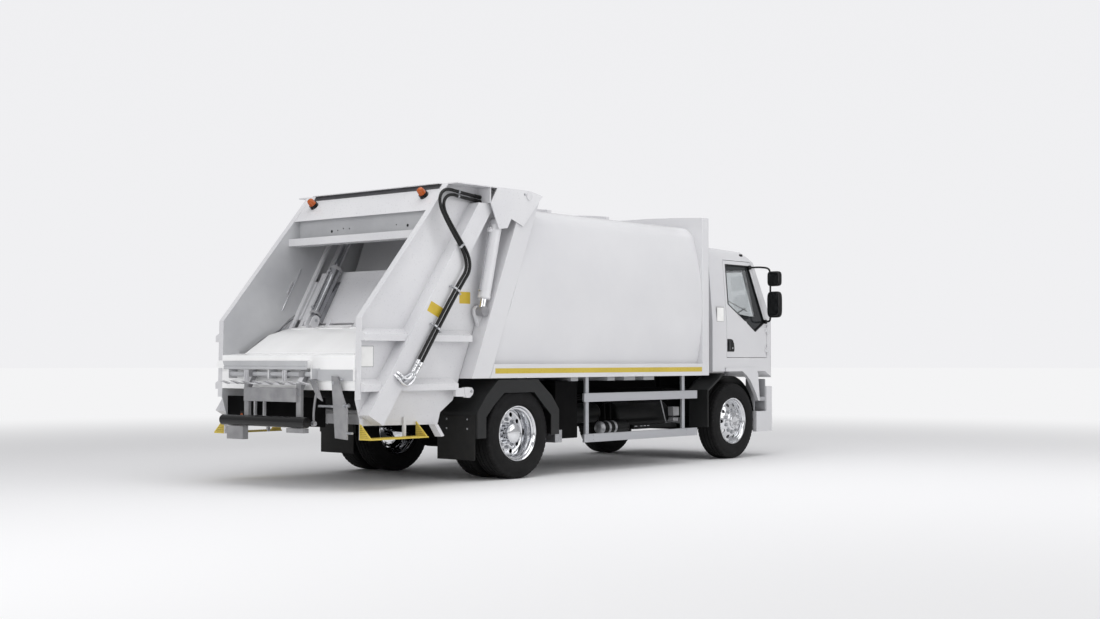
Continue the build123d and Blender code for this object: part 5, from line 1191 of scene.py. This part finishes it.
def nuts(piece, axle_x, place_y, side, count, circle, across, height, phase=0.0):
    """Hexagon heads set evenly round an axle."""
    for t in 2 * np.pi * np.arange(count) / count + phase:
        centre = (axle_x + circle * math.cos(t), place_y, AXLE_Z + circle * math.sin(t))
        piece.bolt(centre, (0, side, 0), across, height)


def front_rim(piece, axle_x, far, side):
    """Barrel with a rolled edge, convex disc with hand holes, nuts, hub with its small bolts."""
    barrel = [
        (0.300, 0.104), (0.303, 0.112), (0.298, 0.117), (0.288, 0.114), (0.281, 0.106),
        (0.277, 0.096), (0.268, 0.090), (0.262, 0.078), (0.258, 0.050), (0.258, -0.090),
        (0.272, -0.100), (0.292, -0.104), (0.294, -0.100), (0.294, 0.100), (0.300, 0.104),
    ]
    turned(piece, barrel, axle_x, side, far, 96)
    disc = [(0.130, 0.098), (0.165, 0.098), (0.180, 0.095), (0.205, 0.083), (0.228, 0.068),
            (0.245, 0.060), (0.259, 0.058)]
    disc = [(r, far + out) for r, out in disc]
    piece.add(holed_disc(axle_x, disc, HAND_HOLES, 0.212, 0.024, 0.014, side), "wheel_chrome")
    hub = [
        (0.131, 0.098), (0.128, 0.100), (0.122, 0.112), (0.112, 0.120), (0.104, 0.121),
        (0.098, 0.124), (0.094, 0.140), (0.086, 0.147), (0.060, 0.150), (0.056, 0.148),
        (0.0, 0.150),
    ]
    turned(piece, hub, axle_x, side, far, 64)
    nuts(piece, axle_x, side * (far + 0.098), side, WHEEL_NUTS, 0.148, 0.030, 0.026,
         math.pi / WHEEL_NUTS)
    nuts(piece, axle_x, side * (far + 0.148), side, 8, 0.073, 0.012, 0.007)


def rear_rim(piece, axle_x, far, side, way):
    """Deep dished barrel, disc with hand holes set back in it, nuts and, outside, the domed cap."""
    barrel = [
        (0.300, 0.104), (0.303, 0.112), (0.298, 0.117), (0.288, 0.114), (0.280, 0.104),
        (0.276, 0.090), (0.262, 0.082), (0.258, 0.066), (0.262, 0.040), (0.252, 0.020),
        (0.246, -0.030), (0.246, -0.090), (0.272, -0.100), (0.292, -0.104), (0.294, -0.100),
        (0.294, 0.100), (0.300, 0.104),
    ]
    turned(piece, barrel, axle_x, side, far, 96, way)
    disc = [(0.118, -0.046), (0.168, -0.046), (0.185, -0.044), (0.205, -0.050), (0.232, -0.050),
            (0.247, -0.040)]
    disc = [(r, far + way * out) for r, out in disc]
    piece.add(holed_disc(axle_x, disc, HAND_HOLES, 0.208, 0.026, way * 0.012, side), "wheel_chrome")
    if way > 0:
        cap = [
            (0.119, -0.046), (0.116, -0.030), (0.112, 0.020), (0.110, 0.052), (0.104, 0.066),
            (0.090, 0.076), (0.060, 0.083), (0.030, 0.086), (0.0, 0.087),
        ]
        turned(piece, cap, axle_x, side, far, 64)
        nuts(piece, axle_x, side * (far - 0.046), side, WHEEL_NUTS, 0.150, 0.030, 0.030,
             math.pi / WHEEL_NUTS)
    else:
        drum = [(0.119, -0.046), (0.119, 0.13), (0.0, 0.13)]
        turned(piece, drum, axle_x, side, far, 48, way)


class TRUCK_OT_wheels(bpy.types.Operator):
    """Treaded tyres and bright wheels with hand holes, nuts and hubs"""

    bl_idname = "truck.wheels"
    bl_label = "Wheels"

    def execute(self, context):
        depth = context.scene.truck.groove
        for corner, side in (("left", 1), ("right", -1)):
            tyre = Piece(f"tyre_front_{corner}_tread")
            tyre.add(tyre_form(FRONT_X, side * FRONT_TRACK_HALF, depth), "tyre_rubber")
            tyre.build(f"wheel_front_{corner}", stands_for=(f"tyre_front_{corner}",))
            rim = Piece(f"rim_front_{corner}_bright")
            front_rim(rim, FRONT_X, FRONT_TRACK_HALF, side)
            rim.build(f"wheel_front_{corner}", stands_for=(f"rim_front_{corner}",))
            tyres = Piece(f"tyre_rear_{corner}_tread")
            rims = Piece(f"rim_rear_{corner}_bright")
            for far, way in TWIN_TYRES:
                tyres.add(tyre_form(REAR_X, side * far, depth), "tyre_rubber")
                rear_rim(rims, REAR_X, far, side, way)
            tyres.build(f"wheel_rear_{corner}", stands_for=(f"tyre_rear_{corner}",))
            rims.build(f"wheel_rear_{corner}", stands_for=(f"rim_rear_{corner}",))
        return {"FINISHED"}


AHEAD_OF_TRUCK = 6.0


def wrapped(node, across, heights, proud):
    """A closed skin on a node's front: met points plus a proud distance, and 3 mm behind."""
    met = np.array([
        [touch(node, (AHEAD_OF_TRUCK, y, z), (-1, 0, 0))[0] for y in across] for z in heights])
    outer, inner = met.copy(), met.copy()
    outer[..., 0] += proud
    inner[..., 0] -= 0.003
    outer[[0, -1], :, 0], outer[:, [0, -1], 0] = inner[[0, -1], :, 0], inner[:, [0, -1], 0]
    rows, columns = met.shape[:2]
    faces = grid_faces(rows, columns)
    points = np.vstack([outer.reshape(-1, 3), inner.reshape(-1, 3)])
    return points, np.vstack([faces, faces[:, ::-1] + rows * columns])


def skin_y(z):
    """Half width of the cab's side at a height: 1.1 below the belt, drawn in 0.07 to the roof."""
    return 1.1 - 0.07 * np.clip((np.asarray(z, float) - 1.79) / 0.855, 0, None)


def skin_band(side, outer, inner, low, high):
    """A flat band between two outlines on the cab's side, from low to high outside the skin."""
    rings = []
    for outline, lift in ((outer, low), (outer, high), (inner, high), (inner, low)):
        outline = np.asarray(outline, float)
        y = side * (skin_y(outline[:, 1]) + lift)
        rings.append(np.stack([REAR_X + outline[:, 0], y, outline[:, 1]], axis=1))
    return np.vstack(rings), grid_faces(4, len(outer), True, True)


WINDOW_EDGE = (
    (4.281, 2.016), (4.281, 2.543), (4.836, 2.543), (5.151, 1.783), (4.915, 1.659), (4.530, 1.874),
)
WINDOW_SIGHT = (
    (4.303, 2.034), (4.303, 2.452), (4.792, 2.482), (4.945, 1.868), (4.800, 1.866), (4.556, 1.890),
)


class TRUCK_OT_glazing(bpy.types.Operator):
    """Windscreen, door windows and the black print and seals round them"""

    bl_idname = "truck.glazing"
    bl_label = "Glazing"

    def execute(self, context):
        for node in ("windscreen", "door_glass_left", "door_glass_right"):
            dress(node, "float_glass", 0.001, 30)
        for corner, side in (("left", 1), ("right", -1)):
            frame_piece = Piece(f"window_frame_{corner}")
            frame_piece.add(skin_band(side, WINDOW_EDGE, WINDOW_SIGHT, -0.018, -0.013),
                            "black_print_and_hole_shade")
            edge = np.array(WINDOW_EDGE)
            seal_and_shade_strip = edge + (edge.mean(axis=0) - edge) * 0.045
            frame_piece.add(skin_band(side, edge, seal_and_shade_strip, -0.015, 0.004), "moulded_black")
            frame_piece.build(f"door_{corner}", 0.002)
        screen = Piece("screen_print")
        foot, head = np.array(at(5.330, 0, 1.790)), np.array(at(4.965, 0, 2.590))
        run = head - foot
        out = np.array([run[2], 0, -run[0]]) / np.linalg.norm(run)
        for side in (1, -1):
            wiper = smooth_path([
                foot + run * 0.03 + out * 0.02 + (0, side * 0.25 - 0.1, 0),
                foot + run * 0.10 + out * 0.045 + (0, side * 0.25 - 0.2, 0),
                foot + run * 0.22 + out * 0.045 + (0, side * 0.25 - 0.45, 0),
            ], 6)
            screen.add(swept(wiper, 0.009, 10), "moulded_black")
            blade = [wiper[-1] - (0, 0.02, 0) - run * 0.05, wiper[-1] + (0, 0.32, 0) + run * 0.20]
            screen.add(swept(blade, 0.007, 8), "moulded_black")
        screen.build("cab", 0.001)
        return {"FINISHED"}


class TRUCK_OT_mirrors(bpy.types.Operator):
    """Rounded mirror heads on bent arms, their glass made dark: a painted reflection"""

    bl_idname = "truck.mirrors"
    bl_label = "Mirrors"

    def execute(self, context):
        for corner, side in (("left", 1), ("right", -1)):
            piece = Piece(f"mirror_{corner}_shell")
            for low, high, wide in ((1.850, 2.200, 0.105), (2.270, 2.470, 0.100)):
                centre = np.array(at(5.045, side * 1.325, (low + high) / 2))
                half = np.array([0.036, wide, (high - low) / 2])
                piece.add(pillow(centre, half, 0.42, 24, 48), "moulded_black")
                # The mirror's face: dark glass that is not metallic, a painted reflection of dark
                # surroundings
                face = pillow(centre - (0.0335, 0, 0), half * (0.12, 0.86, 0.88), 0.35, 16, 40)
                piece.add(face, "dark_glass_painted_reflection")
                rib = pillow(centre + (0.036, 0, 0), (0.008, wide * 0.5, (high - low) * 0.4), 0.5,
                             12, 24)
                piece.add(rib, "moulded_black")
            stem = smooth_path([
                at(4.860, side * (skin_y(2.52) + 0.014), 2.520), at(4.990, side * 1.150, 2.526),
                at(5.070, side * 1.222, 2.500), at(5.082, side * 1.236, 2.380),
                at(5.082, side * 1.236, 2.230), at(5.082, side * 1.236, 2.000),
                at(5.082, side * 1.236, 1.870), at(5.085, side * 1.222, 1.812),
                at(5.110, side * 1.170, 1.800), at(5.160, side * (skin_y(1.80) + 0.014), 1.800),
            ], 8)
            piece.add(swept(stem, 0.0125, 14, (0.3, 1.0, 0.2)), "moulded_black")
            for x, z in ((4.860, 2.520), (5.160, 1.800)):
                pad = (0.030, 0.013, 0.028)
                piece.add(pillow(at(x, side * (skin_y(z) + 0.013), z), pad, 0.5, 14, 28),
                          "moulded_black")
            for low, high in ((1.93, 1.97), (2.08, 2.12), (2.33, 2.37)):
                ring = [(0.0120, low), (0.0190, low + 0.004), (0.0190, high - 0.004),
                        (0.0120, high)]
                piece.add(spun(ring, at(5.082, side * 1.236, 0), (0, 0, 1), 20), "moulded_black")
            piece.build(NODES[f"mirror_{corner}"]["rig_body"], 0.0, 40, (f"mirror_{corner}",))
        return {"FINISHED"}


class TRUCK_OT_cab_fittings(bpy.types.Operator):
    """Handles, labels, grille, lamps, wheel and treads of the cab"""

    bl_idname = "truck.cab_fittings"
    bl_label = "Cab fittings"

    def execute(self, context):
        for corner, side in (("left", 1), ("right", -1)):
            door = Piece(f"door_{corner}_handle")
            cup = [(4.241, 1.393), (4.241, 1.558), (4.330, 1.558), (4.372, 1.545), (4.398, 1.500),
                   (4.410, 1.440), (4.404, 1.400), (4.390, 1.393)]
            door.add(slab(cup, side, 1.0985, 1.1035), "moulded_black")
            grip = pillow(at(4.285, side * 1.107, 1.476), (0.020, 0.009, 0.062), 0.45, 16, 32)
            door.add(grip, "black_print_and_hole_shade")
            lock = [(0, 0.0), (0.012, 0.0), (0.012, 0.005), (0, 0.006)]
            door.add(spun(lock, at(4.362, side * 1.1035, 1.440), (0, side, 0), 20), "zinc_plate")
            door.build(f"door_{corner}", 0.002)
        fittings = Piece("cab_fittings")
        label(fittings, at(4.000, -1.1, 1.780), (1, 0, 0), (0, 0, 1), 0.165, 0.190,
              "machine_enamel", "label_white")
        for side in (1, -1):
            # Small rounded pieces high on the cab's sides, in the dark glass whose darkness is a
            # painted reflection
            point, _ = touch("cab_shell", at(4.698, side * 2.0, 2.676), (0, -side, 0))
            fittings.add(pillow(point, (0.038, 0.014, 0.018), 0.7, 16, 32), "dark_glass_painted_reflection")
        across = np.linspace(-1.02, 1.02, 49)
        fittings.add(wrapped("cab_shell", across, np.linspace(1.085, 1.455, 5), 0.004),
                     "moulded_black")
        for z in np.linspace(1.115, 1.425, 7):
            heights = z + np.array([-0.014, -0.010, 0.010, 0.014])
            fittings.add(wrapped("cab_shell", across * 0.985, heights, 0.018), "moulded_black")
        fittings.build("cab", 0.0)
        wheel = Piece("steering_wheel")
        axis, rise, cross = square_frame((-0.75, 0, 0.66))
        hub = np.array(at(4.86, 0.53, 2.02))
        t = np.linspace(0, 2 * np.pi, 49)[:, None]
        wheel.add(swept(hub + (rise * np.cos(t) + cross * np.sin(t)) * 0.215, 0.015, 12, axis),
                  "moulded_black")
        for turn in (0.3, np.pi - 0.3, -np.pi / 2):
            rim_at = hub + (rise * math.cos(turn) + cross * math.sin(turn)) * 0.205
            wheel.add(swept([hub - axis * 0.02, rim_at], 0.011, 10), "moulded_black")
        boss = [(0, -0.26), (0.035, -0.26), (0.045, -0.03), (0.05, 0.0), (0, 0.012)]
        wheel.add(spun(boss, hub, axis, 32), "moulded_black")
        wheel.build("cab", 0.0)
        front = Piece("front_lamps")
        for side in (1, -1):
            rows = np.linspace(0.560, 0.760, 5)
            front.add(wrapped("bumper", np.linspace(*span(side, 0.62, 0.94), 17), rows, 0.005),
                      "moulded_black")
            for y, radius in ((0.70, 0.062), (0.85, 0.058)):
                point, _ = touch("bumper", (AHEAD_OF_TRUCK, side * y, 0.660), (-1, 0, 0))
                facing = np.array([1.0, side * 0.12, 0])
                rim_of_light(front, point + (0.004, 0, 0), facing, radius, "clear_lens")
                bowl = [(radius * 0.80, 0.006), (radius * 0.5, 0.002), (0.012, 0.001), (0, 0.001)]
                front.add(spun(bowl, point + (0.004, 0, 0), facing, 32), "wheel_chrome")
            point, _ = touch("bumper", (AHEAD_OF_TRUCK, side * 0.80, 0.470), (-1, 0, 0))
            rim_of_light(front, point, (1, side * 0.1, 0), 0.045, "clear_lens")
        plate = wrapped("bumper", np.linspace(-0.26, 0.26, 9), np.linspace(0.420, 0.530, 4), 0.004)
        front.add(plate, "label_white")
        front.build("chassis", 0.0)
        treads = Piece("step_treads")
        for side in (1, -1):
            for z in (0.600, 0.790):
                for x in np.linspace(5.02, 5.13, 7):
                    bar = [(x - 0.004, z - 0.001), (x + 0.004, z - 0.001),
                           (x + 0.003, z + 0.003), (x - 0.003, z + 0.003)]
                    treads.add(slab(bar, side, 0.955, 1.095), "tank_aluminium")
        treads.build("chassis", 0.0)
        return {"FINISHED"}


class TRUCK_OT_body_fittings(bpy.types.Operator):
    """Yellow tape along the sills and weld beads of the body"""

    bl_idname = "truck.body_fittings"
    bl_label = "Body fittings"

    def execute(self, context):
        tape = Piece("sill_tape")
        for side in (1, -1):
            strip = [(-0.420, 1.140), (3.440, 1.140), (3.440, 1.196), (-0.420, 1.196)]
            tape.add(slab(strip, side, 1.2490, 1.2508), "tape_yellow")
        tape.build("chassis")
        beads = Piece("weld_beads")
        for side in (1, -1):
            run = np.linspace(-0.42, 3.44, 240)
            radius = 0.0035 + 0.0012 * np.sin(np.arange(240) * 1.9)
            path = np.stack([REAR_X + run, 0 * run + side * 1.1625, 0 * run + 1.2405], axis=1)
            beads.add(swept(path, radius, 8), "coach_enamel")
        beads.build("chassis")
        return {"FINISHED"}


class TRUCK_OT_lifter_fittings(bpy.types.Operator):
    """Pins, springs, rods and brackets round the bin lifter, and the steps' patterned plates"""

    bl_idname = "truck.lifter_fittings"
    bl_label = "Lifter fittings"

    def execute(self, context):
        fixed = Piece("lifter_rods")
        fixed.add(round_bar(0.013, 0, 0.235, at(-2.270, -0.792, 0.826), (0, 1, 0), 20),
                  "zinc_plate")
        rod = smooth_path([at(-2.290, -0.560, 0.960), at(-2.300, -0.545, 0.930),
                           at(-2.300, -0.515, 0.760), at(-2.290, -0.505, 0.657)])
        fixed.add(swept(rod, 0.012, 12), "machine_enamel")
        fixed.add(spun([(0, -0.02), (0.024, -0.02), (0.028, 0), (0.024, 0.02), (0, 0.02)],
                       at(-2.290, -0.505, 0.650), (0, 1, 0), 24), "zinc_plate")
        fixed.add(spun([(0, -0.05), (0.020, -0.05), (0.020, 0.012), (0, 0.016)],
                       at(-2.290, -0.968, 0.835), (-1, 0, 0), 24), "zinc_plate")
        fixed.bolt(at(-2.303, -0.968, 0.835), (-1, 0, 0), 0.022, 0.014)
        fixed.add(round_bar(0.012, 0, 0.075, at(-2.292, -1.000, 0.570), (0, -1, 0), 16),
                  "zinc_plate")
        for y, z in ((-0.925, 1.095), (-0.800, 1.060), (-0.470, 1.095)):
            fixed.bolt(at(-2.300, y, z), (-1, 0, 0), 0.022, 0.014)
        # Folded cover along the hopper's edge over the comb, in the grey of painted shade
        cover = [(-2.346, 1.276), (-2.370, 1.276), (-2.370, 1.268), (-2.352, 1.220),
                 (-2.360, 1.216), (-2.360, 1.190), (-2.346, 1.190)]
        fixed.add(slab(cover, 1, -0.470, 0.850), "inner_painted_shade")
        # Black apron behind the lifter, a sheet of painted shade for the shade behind it, with its
        # two stays
        fixed.block((-2.162, -0.520, 0.610), (-2.150, 1.030, 0.905), "chassis_black")
        for y in (0.545, 0.397):
            fixed.block((-2.195, y - 0.009, 0.620), (-2.165, y + 0.009, 0.900), "tailgate_enamel")
        for y in (0.528, -0.093):
            fixed.add(coil(at(-2.300, y - 0.035, 1.140), (0, 1, 0), 0.036, 5, 0.012, 0.005),
                      "zinc_plate")
        fixed.build("tail", 0.001)
        moving = Piece("lifter_plates")
        for y0, y1, z0, z1 in ((-0.533, -0.276, 0.560, 0.605), (0.410, 0.670, 0.470, 0.606)):
            moving.block((-2.452, y0, z0), (-2.380, y1, z1), "machine_enamel")
        for y in (0.441, -0.167):
            for shift in (-0.014, 0.014):
                moving.block((-2.400, y + shift - 0.005, 1.070), (-2.368, y + shift + 0.005, 1.185),
                             "tailgate_enamel")
        for y in (0.450, -0.370):
            for z in (0.700, 0.945):
                moving.bolt(at(-2.3755, y, z), (-1, 0, 0), 0.022, 0.012)
        moving.build("lifter", 0.004)
        pattern = Piece("step_pattern")
        knob = [(0, -0.001), (0.0075, -0.001), (0.006, 0.003), (0, 0.0035)]
        for side in (1, -1):
            for x in (-2.190, -1.418):
                for i in range(7):
                    for k in range(7 - i):
                        spot = at(x, side * (1.076 + 0.018 * i), 0.524 + 0.018 * k)
                        pattern.add(round_bar(0.0045, -0.0003, 0.0004, spot, (-1, 0, 0), 8),
                                    "label_dark")
            for i in range(30):
                for k in range(5):
                    y = side * (1.085 + 0.028 * k)
                    pattern.add(spun(knob, at(-2.165 + 0.025 * i, y, 0.514), (0, 0, 1), 8),
                                "safety_yellow")
        pattern.build("tail")
        return {"FINISHED"}


class TRUCK_OT_chassis_fittings(bpy.types.Operator):
    """Small tank, straps, brackets, lines and bolts under the body"""

    bl_idname = "truck.chassis_fittings"
    bl_label = "Chassis fittings"

    def execute(self, context):
        piece = Piece("chassis_fittings")
        t = np.linspace(0, np.pi / 2, 9)
        end = np.stack([0.075 * np.sin(t), 0.035 * (1 - np.cos(t))], axis=1)
        shell = np.vstack([end, [(0.075, 0.055)]])
        centre = at(1.620, -1.020, 0.490)
        piece.add(spun([*shell, (0.0, 0.055)], centre, (1, 0, 0), 40), "tank_aluminium")
        piece.add(spun([(0, 0.050), (0.074, 0.050), (0.074, 0.520), (0.06, 0.545), (0, 0.545)],
                       centre, (1, 0, 0), 40), "tank_black")
        for along in (0.135, 0.245):
            band = [(0.0735, along), (0.0775, along), (0.0775, along + 0.038),
                    (0.0735, along + 0.038)]
            piece.add(spun(band, centre, (1, 0, 0), 40), "tank_aluminium")
            arm = smooth_path([at(1.639 + along, -1.000, 0.560), at(1.639 + along, -0.985, 0.800),
                               at(1.639 + along, -0.900, 0.875), at(1.639 + along, -0.420, 0.880)])
            piece.add(swept(arm, 0.012, 8), "chassis_black")
        # Slotted tray beside the silencer
        piece.block((2.200, -1.110, 0.455), (3.080, -0.995, 0.505), "tank_black")
        for x in (2.225, 2.330, 2.400, 2.470):
            piece.block((x, -1.1115, 0.486), (x + 0.045, -1.108, 0.494), "tank_aluminium")
        piece.add(swept([at(2.900, -1.000, 0.790), at(3.010, -1.000, 0.500)], 0.008, 10),
                  "tank_aluminium")
        piece.block((3.110, -1.040, 0.590), (3.235, -0.960, 0.700), "machine_enamel")
        piece.block((3.115, -1.035, 0.520), (3.225, -0.965, 0.565), "machine_enamel")
        # Lower rear corner of the tool box
        piece.block((0.680, -1.156, 0.360), (0.800, -1.020, 0.500), "tank_aluminium")
        # Ends of the floor's cross members
        for x, wide in ((0.93, 0.13), (1.60, 0.14), (1.92, 0.22), (2.30, 0.22)):
            piece.block((x, -1.180, 1.045), (x + wide, -0.520, 1.092), "step_grey")
            piece.block((x, 0.520, 1.045), (x + wide, 1.180, 1.092), "step_grey")
        # Brake and wiring lines along both rails
        for side in (1, -1):
            for y, z, radius in ((0.436, 0.86, 0.009), (0.436, 0.83, 0.007), (0.438, 0.80, 0.010)):
                run = np.linspace(0, 1, 60)
                line = np.stack([REAR_X + 0.75 + 3.0 * run, side * (y + 0 * run),
                                 z + 0.006 * np.sin(run * 31)], axis=1)
                piece.add(swept(line, radius, 8), "hose_rubber")
        piece.build("chassis", 0.002)
        # Liners that close the front wheels' arches: an arc of sheet and a wall towards the engine
        liners = Piece("arch_liners")
        t = np.linspace(0.04 * np.pi, 0.96 * np.pi, 33)
        arc = np.stack([np.cos(t), np.sin(t)], axis=1)
        for side in (1, -1):
            sheet = np.vstack([arc * 0.590, arc[::-1] * 0.584]) + (FRONT_X, AXLE_Z)
            liners.add(prism(sheet, "y", *span(side, 0.690, 1.060)), "moulded_black")
            crown = arc[arc[:, 1] > 0.77] * 0.588 + (FRONT_X, AXLE_Z)
            liners.add(prism(crown, "y", *span(side, 0.690, 0.696)), "moulded_black")
        liners.build(NODES["front_guards"]["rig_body"], 0.0)
        bolts = Piece("guard_bolts")
        for corner, side in (("left", 1), ("right", -1)):
            for x in (1.28, 3.14):
                for z in (0.370, 0.420):
                    point, _ = touch(f"side_guard_{corner}", at(x, side * 2, z), (0, -side, 0))
                    bolts.bolt(tuple(point), (0, side, 0), 0.010, 0.006)
        for side in (1, -1):
            for z in (0.56, 0.66):
                for y in (0.80, 1.10):
                    point, _ = touch("mud_flaps", at(-1.0, side * y, z), (1, 0, 0))
                    bolts.bolt(tuple(point), (-1, 0, 0), 0.012, 0.007)
        bolts.build("chassis", 0.0)
        return {"FINISHED"}


class TRUCK_PT_panel(bpy.types.Panel):
    """Sizes, tones and the steps that build the looks"""

    bl_label = "Refuse truck"
    bl_idname = "TRUCK_PT_panel"
    bl_space_type = "VIEW_3D"
    bl_region_type = "UI"
    bl_category = "Refuse truck"

    def draw(self, context):
        settings = context.scene.truck
        for name in TruckSettings.__annotations__:
            self.layout.prop(settings, name)
        for step in STEPS:
            self.layout.operator(step.bl_idname)


STEPS = (
    TRUCK_OT_stage,
    TRUCK_OT_hoses,
    TRUCK_OT_coachwork,
    TRUCK_OT_working_steel,
    TRUCK_OT_underframe,
    TRUCK_OT_wheels,
    TRUCK_OT_beacons,
    TRUCK_OT_tail_fittings,
    TRUCK_OT_lifter_fittings,
    TRUCK_OT_body_fittings,
    TRUCK_OT_chassis_fittings,
    TRUCK_OT_glazing,
    TRUCK_OT_mirrors,
    TRUCK_OT_cab_fittings,
)
CLASSES = (TruckSettings, *STEPS, TRUCK_PT_panel)


def register():
    """Adds the classes and the settings to Blender."""
    for one in CLASSES:
        bpy.utils.register_class(one)
    bpy.types.Scene.truck = bpy.props.PointerProperty(type=TruckSettings)


def unregister():
    """Takes the settings and the classes out of Blender."""
    del bpy.types.Scene.truck
    for one in reversed(CLASSES):
        bpy.utils.unregister_class(one)


def main():
    """Runs every step in order."""
    register()
    for step in STEPS:
        area, call = step.bl_idname.split(".")
        getattr(getattr(bpy.ops, area), call)()


if __name__ == "__main__":
    main()
